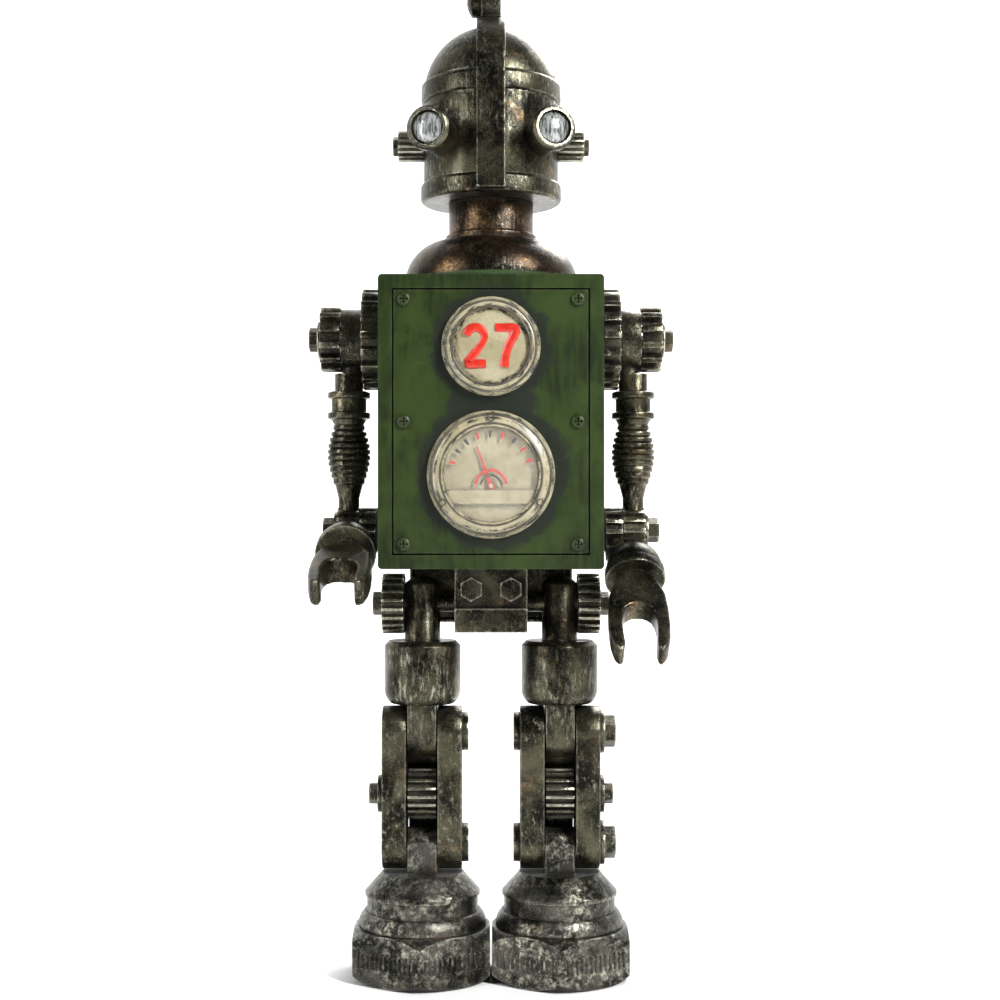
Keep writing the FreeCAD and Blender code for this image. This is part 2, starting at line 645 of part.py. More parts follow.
def soft_block(width, depth, height, radius):
    """A block with its four edges along Y rounded, front face on the origin plane."""
    half, high = width / 2, height / 2
    body = doc.addObject("PartDesign::Body", "case")
    sketch = new_sketch(body, "XZ_Plane")
    draw(sketch, [(-half + radius, -high), (half - radius, -high, radius), (half, radius - high),
                  (half, high - radius, radius), (half - radius, high), (radius - half, high, radius),
                  (-half, high - radius), (-half, radius - high, radius)])
    pad = body.newObject("PartDesign::Pad", "pad")
    pad.Profile = sketch
    bind(pad, "Length", depth)
    pad.Reversed = True
    return body


outer_block = place(soft_block(size("torso_width"), size("torso_depth"), torso_height,
                               size("torso_corner")), 0, torso_front, torso_middle)
hollow = box(inner_width, size("torso_depth"), inner_height, 0,
             rebate * 2, size("torso_bottom") + size("torso_wall"))
ledge = size("cover_ledge")
recess = box(opening_width - 2 * ledge, 20, opening_height - 2 * ledge, 0, torso_front,
             size("torso_bottom") + size("frame_border") + ledge)
front_recess = box(opening_width, rebate * 2, opening_height, 0, torso_front,
                   size("torso_bottom") + size("frame_border"))
shoulder_holes = rod(size("shoulder_axle_radius"), size("torso_width") + 2,
                     -size("torso_width") / 2 - 1, 0, size("shoulder_level"), "x")
case = cut(outer_block, hollow, recess, front_recess, shoulder_holes)
piece(case, "torso_case")

cover_width = opening_width - 2 * size("cover_gap")
cover_height = opening_height - 2 * size("cover_gap")
cover = place(soft_block(cover_width, rebate, cover_height, size("cover_gap")),
              0, torso_front, torso_middle)
screw_levels = ("screw_low", "screw_mid", "screw_high")
screw_spots = [(size("screw_offset") * way, size(level))
               for way in (1, -1) for level in screw_levels]
screw_holes = [rod(size("screw_shank"), rebate * 2, x, torso_front - 1, z, "y")
               for x, z in screw_spots]
dial_holes = [rod(size("screw_shank"), rebate * 2, 0, torso_front - 1, size(level), "y")
              for level in ("badge_level", "gauge_level")]
piece(cut(cover, *screw_holes, *dial_holes), "front_cover")


def pan_screw(x, y, z, along):
    """Pan-head screw with a cross recess; its head stands out of the face at y."""
    head, radius = size("screw_head"), size("screw_radius")
    body = turned([(0, 0), (radius, 0), (radius, head / 2, head), (radius * 0.62, head), (0, head)])
    slot = size("screw_cross")
    cross = [box(radius * 1.3, slot, head, 0, 0, head / 2),
             box(slot, radius * 1.3, head, 0, 0, head / 2)]
    screw = fuse(cut(body, *cross), rod(size("screw_shank"), rebate, 0, 0, 0, "-z"))
    return place(screw, x, y, z, along)


back_gap = size("back_gap")
back_cover = box(inner_width - 2 * back_gap, rebate, inner_height - 2 * back_gap, 0,
                 torso_back - rebate / 2, size("torso_bottom") + size("torso_wall") + back_gap)
back_screw_spots = [(size("screw_offset") * way, size(level))
                    for way in (1, -1) for level in ("screw_low", "screw_high")]
piece(cut(back_cover, rod(size("arbor_radius") + 0.3, rebate * 3, 0, torso_back - rebate * 2,
                          size("arbor_level"), "y"),
          *[rod(size("screw_shank"), rebate * 3, x, torso_back - rebate * 2, z, "y")
            for x, z in back_screw_spots]), "back_cover")
piece(group(*[pan_screw(x, torso_front, z, "-y") for x, z in screw_spots],
            *[pan_screw(x, torso_back, z, "y") for x, z in back_screw_spots]), "cover_screws")

# ---------------------------------------------------------------- dials
badge_radius, badge_height = size("badge_radius"), size("badge_height")
badge_face = size("badge_face_radius")
bezel = turned([(badge_face, 0), (badge_radius, 0), (badge_radius, badge_height / 2, badge_height),
                (badge_face + 1, badge_height), (badge_face, badge_height * 0.8)])
piece(place(bezel, 0, torso_front, size("badge_level"), "-y"), "badge_bezel")
face = domed_disc(badge_face - size("face_fit"), badge_height * 0.6, badge_height * 0.95)
piece(place(face, 0, torso_front, size("badge_level"), "-y"), "badge_face")

gauge_radius, gauge_height = size("gauge_radius"), size("gauge_height")
gauge_face = size("gauge_face_radius")
bezel = turned([(gauge_face, 0), (gauge_radius, 0), (gauge_radius, gauge_height * 0.35,
                                                     gauge_height * 1.6),
                (gauge_face + 1.4, gauge_height), (gauge_face, gauge_height)])
gauge_screw_spots = [(math.cos(math.radians(angle)) * (gauge_radius + gauge_face) / 2,
                      math.sin(math.radians(angle)) * (gauge_radius + gauge_face) / 2)
                     for angle in (90, 210, 330)]
bezel_holes = [rod(size("gauge_screw_radius"), gauge_height * 3, x, z, 0)
               for x, z in gauge_screw_spots]
piece(place(cut(bezel, *bezel_holes), 0, torso_front, size("gauge_level"), "-y"), "gauge_bezel")
gauge_screws = [fuse(rod(size("gauge_screw_radius"), gauge_height, x, z, 0),
                     rod(size("gauge_screw_head"), size("gauge_screw_radius"), x, z, gauge_height))
                for x, z in gauge_screw_spots]
piece(place(group(*gauge_screws), 0, torso_front, size("gauge_level"), "-y"), "gauge_screws")
dial_thickness = gauge_height * 0.3
needle_level = size("gauge_level") - size("needle_drop")
post_radius, disc_radius = size("needle_post"), gauge_face - size("face_fit")
dial = fuse(rod(disc_radius, dial_thickness),
            rod(post_radius, dial_thickness + 1.3, 0, -size("needle_drop"), 0))
bar_height = size("gauge_bar")
bar = doc.addObject("Part::Common", "bar")
bar.Base = rod(disc_radius, size("gauge_bar_rise"), 0, 0, dial_thickness)
bar.Tool = box(gauge_face * 2, bar_height, 8, 0,
               -size("needle_drop") - size("gauge_bar_drop") - bar_height / 2, 0)
piece(place(fuse(dial, bar), 0, torso_front, size("gauge_level"), "-y"), "gauge_dial")
needle_length = size("needle_length")
needle_plate = size("needle_plate")
blade = padded([(-0.5, 0), (0.5, 0), (0.15, needle_length), (-0.15, needle_length)], needle_plate)
needle = cut(fuse(blade, rod(size("needle_boss"), needle_plate, 0, 0, -needle_plate / 2)),
             rod(post_radius + size("running_fit"), 2, 0, 0, -1))
piece(place(needle, 0, torso_front - dial_thickness - 0.8, needle_level, "-y",
            size("needle_lean").value), "gauge_needle")
glass_rise, glass_wall = size("glass_rise"), size("glass_wall")
glass_base = gauge_height - size("glass_drop")
glass_radius = disc_radius
glass = cut(cap(glass_radius, glass_rise, glass_base),
            cap(glass_radius - glass_wall, glass_rise - glass_wall, glass_base - 0.01))
piece(place(glass, 0, torso_front, size("gauge_level"), "-y"), "gauge_glass")

# ---------------------------------------------------------------- shoulders and neck
dome_low = size("torso_top")
skirt_top = dome_low + size("dome_skirt")
dome_top = size("dome_top")
dome_radius, neck_radius = size("dome_radius"), size("neck_radius")
shoulder_run = dome_radius - neck_radius
dome = turned([(0, dome_low), (dome_radius, dome_low), (dome_radius, skirt_top, shoulder_run),
               (neck_radius + 1.2, dome_top), (0, dome_top)])
piece(dome, "shoulder_dome")
neck_pin_top = size("neck_top") + size("neck_pin_rise")
neck = fuse(turned([(0, dome_top), (neck_radius + 0.9, dome_top), (neck_radius + 0.9, dome_top + 1.6),
                    (neck_radius, dome_top + 2.2), (neck_radius, size("neck_top")),
                    (0, size("neck_top"))]),
            rod(size("neck_pin_radius"), neck_pin_top - dome_top - 1, 0, 0, dome_top + 1))
piece(neck, "neck_post")

# ---------------------------------------------------------------- head
chin_low = size("neck_top") + size("head_gap")
chin_top = chin_low + size("chin_height")
chin, drum = size("chin_radius"), size("drum_radius")
wall = size("head_wall")
pin_hole = size("neck_pin_radius") + size("running_fit")
head_base = turned([(pin_hole, chin_low), (chin - 1.2, chin_low, 1.3), (chin, chin_low + 1.2),
                    (chin, chin_top - 1.2, 1.3), (chin - 1.2, chin_top), (pin_hole, chin_top)])
piece(head_base, "head_base")
drum_top, band_top = size("drum_top"), size("band_top")
drum_shell = turned([(drum - wall, chin_top), (drum, chin_top), (drum, drum_top),
                     (drum - wall, drum_top)])
eye_radius, lens_radius, eye_length = size("eye_radius"), size("lens_radius"), size("eye_length")
tube_radius = eye_radius - size("eye_lip")


def eye_part(thing, way, behind_front):
    """Stand a turned eye part on the eye's axis, its foot a distance behind the eye's front."""
    splay = math.radians(size("eye_splay").value)
    out = FreeCAD.Vector(math.sin(splay) * way, -math.cos(splay), 0)
    thing.Placement = FreeCAD.Placement(
        FreeCAD.Vector(), FreeCAD.Rotation(FreeCAD.Vector(0, 0, 1), out))
    bind(thing, "Placement.Base.x", size("eye_offset") * way - as_size(behind_front) * out.x)
    bind(thing, "Placement.Base.y", -size("eye_front") - as_size(behind_front) * out.y)
    bind(thing, "Placement.Base.z", size("eye_level"))
    return thing


eye_holes = [eye_part(rod(tube_radius, 30), way, eye_length) for way in (1, -1)]
ear_peg = size("ear_peg")
ear_holes = [rod(ear_peg, 10, (drum - 4) * way, 0, size("ear_level"), "x" if way > 0 else "-x")
             for way in (1, -1)]
piece(cut(drum_shell, *eye_holes, *ear_holes), "head_drum")
band_radius = size("band_radius")
band = turned([(drum - wall, drum_top), (band_radius - 0.8, drum_top, 1.0),
               (band_radius, drum_top + 0.8), (band_radius, band_top - 1.2, 1.8),
               (band_radius - 0.8, band_top), (drum - wall, band_top)])
piece(band, "head_band")
skull, skull_top = size("skull_radius"), size("skull_top")
rise = skull_top - band_top
piece(cut(cap(skull, rise, band_top), cap(skull - wall, rise - wall, band_top - 0.01)),
      "head_dome")

lens_seat = size("lens_seat")
eyes, lenses = [], []
for way in (1, -1):
    tube = turned([(0, 0), (tube_radius, 0), (tube_radius, eye_length - 4),
                   (eye_radius, eye_length - 3), (eye_radius, eye_length - 0.8),
                   (eye_radius - 0.8, eye_length), (lens_radius, eye_length),
                   (lens_radius, eye_length - lens_seat), (0, eye_length - lens_seat)])
    eyes.append(eye_part(tube, way, eye_length))
    lens = domed_disc(lens_radius - size("face_fit") / 2, 1.4, lens_seat + 0.5)
    lenses.append(eye_part(group(lens), way, lens_seat))
piece(group(*eyes), "eye_tubes")
piece(group(*lenses), "eye_lenses")

ears = []
for way, outward in ((1, "x"), (-1, "-x")):
    ear_length = size("ear_length")
    knurl = gear(16, size("ear_radius"), size("ear_radius") - size("ear_knurl"), ear_length, 0)
    place(knurl, (drum + ear_length / 2) * way, 0, size("ear_level"), "x")
    ears.append(fuse(knurl, rod(ear_peg, ear_length + 2, (drum - 2) * way, 0,
                                size("ear_level"), outward)))
piece(group(*ears,
            hexagon(size("ear_nut_radius"), size("ear_nut_height"), size("ear_reach"), 0,
                    size("ear_level"), "x"),
            hexagon(size("ear_nut_radius"), size("ear_nut_height"), -size("ear_reach"), 0,
                    size("ear_level"), "-x")), "ear_knobs")

# the crest runs up the face, over the skull and ends in a round fin
crest_low = chin_low + 0.4
crest_front = drum + size("crest_front")
crest_shoulder = drum_top + size("crest_shoulder")
crest_top, crest_arc = size("crest_top"), size("crest_arc")
crest_inside = drum - size("crest_hollow")
strip = padded([(-crest_front, crest_low), (-crest_front, crest_shoulder, -crest_arc),
                (0, crest_top, -crest_arc), (crest_front, crest_shoulder),
                (crest_front, drum_top), (crest_inside, drum_top),
                (crest_inside, crest_shoulder), (-crest_inside, crest_shoulder),
                (-crest_inside, crest_low)], size("crest_width"), "YZ_Plane")
head_envelope = fuse(turned([(0, chin_low - 1), (chin, chin_low - 1), (chin, chin_top),
                             (drum, chin_top), (drum, drum_top), (band_radius, drum_top),
                             (band_radius, band_top), (0, band_top)]),
                     cap(skull, rise, band_top))
fin = rod(size("fin_radius"), size("fin_width"), -size("fin_width") / 2, 0,
          size("fin_level"), "x")
piece(cut(fuse(strip, fin), head_envelope), "head_crest")
rivet_radius, rivet_height = size("rivet_radius"), size("rivet_height")
rivet = group(domed_disc(rivet_radius, size("rivet_edge"), rivet_height))
piece(place(rivet, -size("fin_width") / 2, 0, size("fin_level"), "-x"), "crest_rivet")

# ---------------------------------------------------------------- shoulder axle and arms
arm_start = size("torso_width") / 2 + size("arm_side_gap")
barrel_start = arm_start + size("shoulder_gear_width")
outer_gear_start = barrel_start + size("barrel_width")
outer_gear_end = outer_gear_start + size("outer_gear_width")
axle_radius = size("shoulder_axle_radius")
axle_bore = axle_radius + size("running_fit")
shoulder_level = size("shoulder_level")
bolt_start = outer_gear_end + size("arm_end_play")
axle_end = bolt_start + size("arm_washer_height")
axle_parts = [rod(axle_radius, axle_end * 2, -axle_end, 0, shoulder_level, "x")]
bolt_heads = []
for way, outward in ((1, "x"), (-1, "-x")):
    axle_parts.append(rod(size("arm_washer_radius"), size("arm_washer_height"),
                          bolt_start * way, 0, shoulder_level, outward))
    bolt_heads.append(hexagon(size("arm_bolt_radius"), size("arm_bolt_height"),
                              axle_end * way, 0, shoulder_level, outward))
piece(fuse(*axle_parts, *bolt_heads), "shoulder_axle")


def arm_outline():
    """The turned upper arm from the elbow up: waist, ribbed bulb and two ring flanges."""
    wrist, waist = size("arm_wrist"), size("arm_waist")
    points = [(0, size("elbow_level")), (wrist, size("elbow_level")),
              (wrist, size("bulb_bottom") - 4)]
    ribs = 10
    low, high = size("bulb_bottom"), size("bulb_top")
    pitch = (high - low) / ribs
    for rib in range(ribs):
        swell = math.sin(math.pi * (rib + 0.5) / ribs)
        crown = waist + (size("bulb_radius") - waist) * swell
        level = low + pitch * rib
        points += [(crown - size("rib_depth"), level), (crown, level + pitch * 0.25),
                   (crown, level + pitch * 0.75)]
    points += [(waist, high)]
    seat, rim, neck = size("arm_ring_seat"), size("arm_ring_radius"), size("arm_neck")
    for level in (high + 1.5, high + 7.6):
        points += [(seat, level), (rim, level + 0.4), (rim, level + 2.0), (seat, level + 2.4)]
    top = shoulder_level - size("outer_gear_radius") - 0.6
    points += [(neck, level + 2.4), (neck, top), (0, top)]
    return points


def arm(name, way, bend):
    """Upper arm on the shoulder axle, and the forearm that turns on the elbow pin."""
    outward = "x" if way > 0 else "-x"
    inward = "-x" if way > 0 else "x"
    elbow = size("elbow_level")
    axis = size("arm_axis") * way
    gear_centre = arm_start + size("shoulder_gear_width") / 2
    big = gear(18, size("shoulder_gear_radius"), size("shoulder_gear_radius") - size("shoulder_tooth"),
               size("shoulder_gear_width"), axle_bore)
    place(big, gear_centre * way, 0, shoulder_level, "x")
    small = gear(12, size("outer_gear_radius"), size("outer_gear_radius") - size("outer_tooth"),
                 size("outer_gear_width"), axle_bore)
    centre = outer_gear_start + size("outer_gear_width") / 2
    place(small, centre * way, 0, shoulder_level, "x")
    piece(group(big, small), f"{name}_shoulder_gears")

    barrel_centre = barrel_start + size("barrel_width") / 2
    neck_start = shoulder_level - size("barrel_radius") * 0.6
    neck_end = shoulder_level - size("outer_gear_radius") - 3
    neck = rod(size("barrel_width") / 2, neck_start - neck_end, barrel_centre * way, 0, neck_end)
    outer_gear = gear(13, size("elbow_gear_radius"), size("elbow_gear_radius") - size("elbow_tooth"),
                      size("elbow_outer_width"), 0)
    barrel = ring(size("barrel_radius"), axle_bore, size("barrel_width"))
    solid = fuse(place(barrel, barrel_centre * way, 0, shoulder_level, "x"),
                 neck, place(turned(arm_outline()), axis),
                 place(outer_gear, axis, 0, elbow, "x", 90))
    pin = size("elbow_pin_radius")
    upper = cut(solid, rod(pin, 20, axis - 10 * way, 0, elbow, outward))
    piece(upper, f"{name}_upper_arm")

    wide_end = size("arm_axis") + size("elbow_outer_width") / 2
    narrow_end = size("arm_axis") - size("elbow_outer_width") / 2 - size("elbow_gap")
    narrow_start = narrow_end - size("elbow_inner_width")
    washer, head = size("elbow_washer"), size("elbow_head")
    pin_end = wide_end + washer + head
    elbow_bolt = fuse(rod(pin, pin_end - narrow_start, pin_end * way, 0, elbow, inward),
                      rod(size("arm_washer_radius"), washer, wide_end * way, 0, elbow, outward),
                      hexagon(size("arm_bolt_radius"), head, (wide_end + washer) * way, 0, elbow,
                              outward))
    piece(elbow_bolt, f"{name}_elbow_bolt")

    # forearm and claw are drawn hanging straight down from the elbow, then bent forward
    near, far = size("cuff_near"), size("cuff_far")
    shank = size("claw_shank_radius")
    socket = near + size("socket_depth")
    cuff_x = size("cuff_offset") * -way
    gear_x = (narrow_start + size("elbow_inner_width") / 2 - size("arm_axis")) * way
    cuff_radius = size("cuff_radius")
    cuff = turned([(shank + size("running_fit"), -far), (cuff_radius, -far), (cuff_radius, 3 - far),
                   (cuff_radius - 0.6, 3.4 - far, (far - near) * 0.72),
                   (size("cuff_crown"), -near), (0, -near),
                   (0, -socket), (shank + size("running_fit"), -socket)])
    inner_gear = gear(13, size("elbow_gear_radius"), size("elbow_gear_radius") - size("elbow_tooth"),
                      size("elbow_inner_width"), pin + size("running_fit"))
    link = cut(box(size("elbow_inner_width"), 6.0, near + 1.5, gear_x, 0, -near - 1.5),
               rod(pin + 1, 10, gear_x - 5, 0, 0, "x"))
    forearm = fuse(place(cuff, cuff_x), place(inner_gear, gear_x, 0, 0, "x"), link)
    palm = size("claw_palm")
    width, thick = size("claw_width"), size("claw_thickness")
    opening = size("claw_opening")
    notch = palm + size("jaw_root")
    claw = cut(fuse(rod(shank, palm - socket - 0.2, 0, 0, -palm),
                    rod(width / 2, thick, 0, -thick / 2, -palm, "y"),
                    box(width, thick, size("claw_reach") - palm, 0, 0, -size("claw_reach"))),
               box(opening, thick + 2, size("claw_reach") - notch + 1, 0, 0,
                   -size("claw_reach") - 1),
               rod(opening / 2, thick + 2, 0, -thick / 2 - 1, -notch, "y"))
    for thing, node in ((forearm, "forearm"), (place(claw, cuff_x), "claw")):
        holder = group(thing)
        holder.Placement = FreeCAD.Placement(
            FreeCAD.Vector(), FreeCAD.Rotation(FreeCAD.Vector(-1, 0, 0), bend.value))
        bind(holder, "Placement.Rotation.Angle", bend)
        bind(holder, "Placement.Base.x", axis)
        bind(holder, "Placement.Base.z", elbow)
        piece(holder, f"{name}_{node}")


arm("left", 1, size("left_arm_bend"))
arm("right", -1, size("right_arm_bend"))

# ---------------------------------------------------------------- clockwork
module = size("gear_module")
plate = size("motor_plate")
front, back = size("motor_front"), size("motor_back")
motor_low, motor_high = size("motor_bottom"), size("motor_top")
arbor_level = size("arbor_level")


def wheel_size(teeth):
    """Pitch, tip and root radius of a clock wheel."""
    pitch = module * teeth / 2
    return pitch, pitch + module * 0.75, pitch - module * 1.0


great_pitch, great_tip, great_root = wheel_size(size("great_wheel_teeth"))
pinion_pitch, pinion_tip, pinion_root = wheel_size(size("pinion_teeth"))
second_pitch, second_tip, second_root = wheel_size(size("second_wheel_teeth"))
governor_pitch, governor_tip, governor_root = wheel_size(size("governor_teeth"))
second_level = arbor_level - great_pitch - pinion_pitch
governor_x = second_pitch + governor_pitch
arbor = size("arbor_radius")
thin_arbor = size("thin_arbor_radius")
bearing = size("running_fit")

spots = ((0, arbor_level, arbor), (0, second_level, thin_arbor),
         (governor_x, second_level, thin_arbor))
pillar_inset = size("pillar_inset")
pillar_spots = [((size("motor_width") / 2 - pillar_inset) * way, level) for way in (1, -1)
                for level in (motor_low + pillar_inset, motor_high - pillar_inset)]
motor_plates = []
for level in (front, back):
    blank = box(size("motor_width"), plate, motor_high - motor_low, 0, level, motor_low)
    tools = [rod(radius + bearing, plate * 3, x, level - plate * 1.5, z, "y")
             for x, z, radius in spots]
    tools += [rod(thin_arbor, plate * 3, x, level - plate * 1.5, z, "y") for x, z in pillar_spots]
    motor_plates.append(cut(blank, *tools))
piece(group(*motor_plates), "motor_plates")
pillar_start = front + plate / 2
pillar_length = back - front - plate
piece(group(*[fuse(rod(size("pillar_radius"), pillar_length, x, pillar_start, z, "y"),
                   rod(thin_arbor, pillar_length + plate * 2, x, pillar_start - plate, z, "y"))
              for x, z in pillar_spots]), "motor_pillars")

key_start = torso_back + size("key_gap")
great_y = front + plate / 2 + 2.5
wheel_width = size("wheel_width")
piece(rod(arbor, key_start + 6 - (front - plate), 0, front - plate, arbor_level, "y"),
      "winding_arbor")
great = gear(size("great_wheel_teeth"), great_tip, great_root, wheel_width, arbor,
             0.52, 0.74)
piece(place(great, 0, great_y, arbor_level, "y"), "great_wheel")
arbor_start = front - plate
thin_length = back + plate + 0.4 - arbor_start


def arbor_with_pinion(x, y, teeth, tip, root, spin):
    """A thin arbor between the plates with the pinion that is cut on it.
    Spin turns the pinion so that a tooth meets the gap of its wheel."""
    leaves = gear(teeth, tip, root, wheel_width + 1, 0, 0.52, 0.74)
    place(leaves, x, y, second_level, "y", spin)
    return fuse(leaves, rod(thin_arbor, thin_length, x, arbor_start, second_level, "y"))


piece(arbor_with_pinion(0, great_y, size("pinion_teeth"), pinion_tip, pinion_root,
                        0), "centre_arbor")
second_y = great_y + 5.0
second = gear(size("second_wheel_teeth"), second_tip, second_root, wheel_width, thin_arbor,
              0.52, 0.74)
piece(place(second, 0, second_y, second_level, "y"), "second_wheel")
fly = box(11.0, 6.0, 1.0, governor_x, second_y + 8, second_level - 0.5)
governor = arbor_with_pinion(governor_x, second_y, size("governor_teeth"), governor_tip,
                             governor_root, 180 / size("governor_teeth").value)
piece(fuse(governor, fly), "governor_fly")
crank_y = back + plate + 0.4
crank = fuse(rod(5.0, 2.0, 0, crank_y, second_level, "y"),
             rod(0.9, 3.5, 0, crank_y + 1, second_level - 3.0, "y"))
piece(crank, "crank_disc")

key_plate, key_width, key_reach = size("key_plate"), size("key_width"), size("key_reach")
hub_length = size("key_hub")
loop_radius = key_width / 4
loop_centre = key_start + key_reach - loop_radius
stem = box(5.0, key_reach - loop_radius - hub_length + 2, key_plate, 0,
           (key_start + hub_length - 2 + loop_centre) / 2, arbor_level - key_plate / 2)
loops = [rod(loop_radius, key_plate, loop_radius * way, loop_centre, arbor_level - key_plate / 2)
         for way in (1, -1)]
holes = [rod(loop_radius * 0.5, key_plate * 3, loop_radius * way, loop_centre,
             arbor_level - key_plate * 1.5) for way in (1, -1)]
hub = rod(arbor + 2.0, hub_length, 0, key_start, arbor_level, "y")
key = cut(fuse(hub, stem, *loops), *holes,
          rod(arbor, 7.0, 0, key_start - 1, arbor_level, "y"))
piece(key, "winding_key")


def spring_side(offset):
    """One face of the coiled strip as half circles, each wider than the last."""
    pitch = size("spring_pitch").value
    radius, centre, side = size("spring_inner").value + offset, 0.0, 1
    edges = []
    for _ in range(SPRING_TURNS * 2):
        points = [FreeCAD.Vector(centre + radius * side, 0, 0),
                  FreeCAD.Vector(centre, radius, 0) if side > 0 else
                  FreeCAD.Vector(centre, -radius, 0),
                  FreeCAD.Vector(centre - radius * side, 0, 0)]
        edges.append(Part.Arc(*points).toShape())
        centre += side * pitch / 4
        radius += pitch / 4
        side = -side
    return edges


def end_point(edges, last):
    return edges[-1 if last else 0].Vertexes[1 if last else 0].Point


mainspring = doc.addObject("Part::Feature", "mainspring")
inside, outside = spring_side(0.0), spring_side(size("spring_strip").value)
ends = [Part.LineSegment(end_point(inside, last), end_point(outside, last)).toShape()
        for last in (False, True)]
outline_wire = Part.Wire(Part.__sortEdges__(inside + outside + ends))
mainspring.Shape = Part.Face(outline_wire).extrude(
    FreeCAD.Vector(0, 0, size("spring_width").value))
spring_start = great_y + wheel_width + size("spring_gap")
piece(place(mainspring, 0, spring_start, arbor_level, "y"), "mainspring")

# ---------------------------------------------------------------- check and write
doc.recompute()
failed = [thing.Label for thing in doc.Objects
          if "Invalid" in thing.State or "Error" in thing.State]
if failed:
    raise RuntimeError(f"these objects did not build: {failed}")
for thing in pieces:
    if thing.Shape.isNull() or not thing.Shape.isValid():
        raise RuntimeError(f"{thing.Label} has no valid shape")
os.makedirs("parts", exist_ok=True)
for thing in pieces:
    thing.Shape.exportStep(f"parts/{thing.Label}.step")
print(f"{len(pieces)} pieces written")
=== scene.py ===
# %% [markdown]
# # A clockwork robot in worn metal and green paint
# The robot's parts arrive as a finished CAD model.  This lesson keeps every part where
# the CAD puts it, and gives it what a CAD model doesn't have: rounded edges, rubbed paint,
# cast-metal skin, painted dials and the small marks that years on a shelf leave behind.
# We start by loading the parts and a way to read each part's box.

import math
import random

import bpy
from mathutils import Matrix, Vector


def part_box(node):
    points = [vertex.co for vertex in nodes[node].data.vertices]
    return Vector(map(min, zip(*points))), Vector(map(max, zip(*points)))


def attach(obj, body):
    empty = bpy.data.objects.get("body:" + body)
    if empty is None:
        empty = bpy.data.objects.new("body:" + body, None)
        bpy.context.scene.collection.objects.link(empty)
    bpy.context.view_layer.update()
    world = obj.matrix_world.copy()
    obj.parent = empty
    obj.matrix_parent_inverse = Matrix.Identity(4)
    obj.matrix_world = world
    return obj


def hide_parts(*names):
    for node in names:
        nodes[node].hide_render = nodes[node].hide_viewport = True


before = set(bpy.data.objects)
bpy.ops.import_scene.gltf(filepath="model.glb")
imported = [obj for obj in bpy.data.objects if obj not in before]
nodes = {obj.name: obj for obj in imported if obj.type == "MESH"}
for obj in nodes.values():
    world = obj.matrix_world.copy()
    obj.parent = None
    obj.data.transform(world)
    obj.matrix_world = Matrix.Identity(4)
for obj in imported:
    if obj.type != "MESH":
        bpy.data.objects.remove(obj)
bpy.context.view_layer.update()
MM = 0.001


# %% [markdown]
# ## Places
# Sizes and places come from the parts themselves, so nothing here has to be fitted later.
# `low`, `high` and `middle` read a part's box; everything else builds on them.

# %% Read a part's place
def low(node):
    return Vector(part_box(node)[0])


def high(node):
    return Vector(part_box(node)[1])


def middle(node):
    return (low(node) + high(node)) / 2


badge = middle("badge_face")
gauge = middle("gauge_dial")
gauge.z = middle("gauge_bezel").z
print("badge centre", badge, "gauge centre", gauge)


# %% [markdown]
# ## A small kit for shader nodes
# A procedural material is a chain of nodes.  Wiring them by hand takes many lines, so this
# little bench does it: `add` makes a node and fills its sockets, and a socket may be given a
# number or the output of another node.  Coordinates are the part's own, in millimetres, so
# a scratch stays on its part when the part moves.

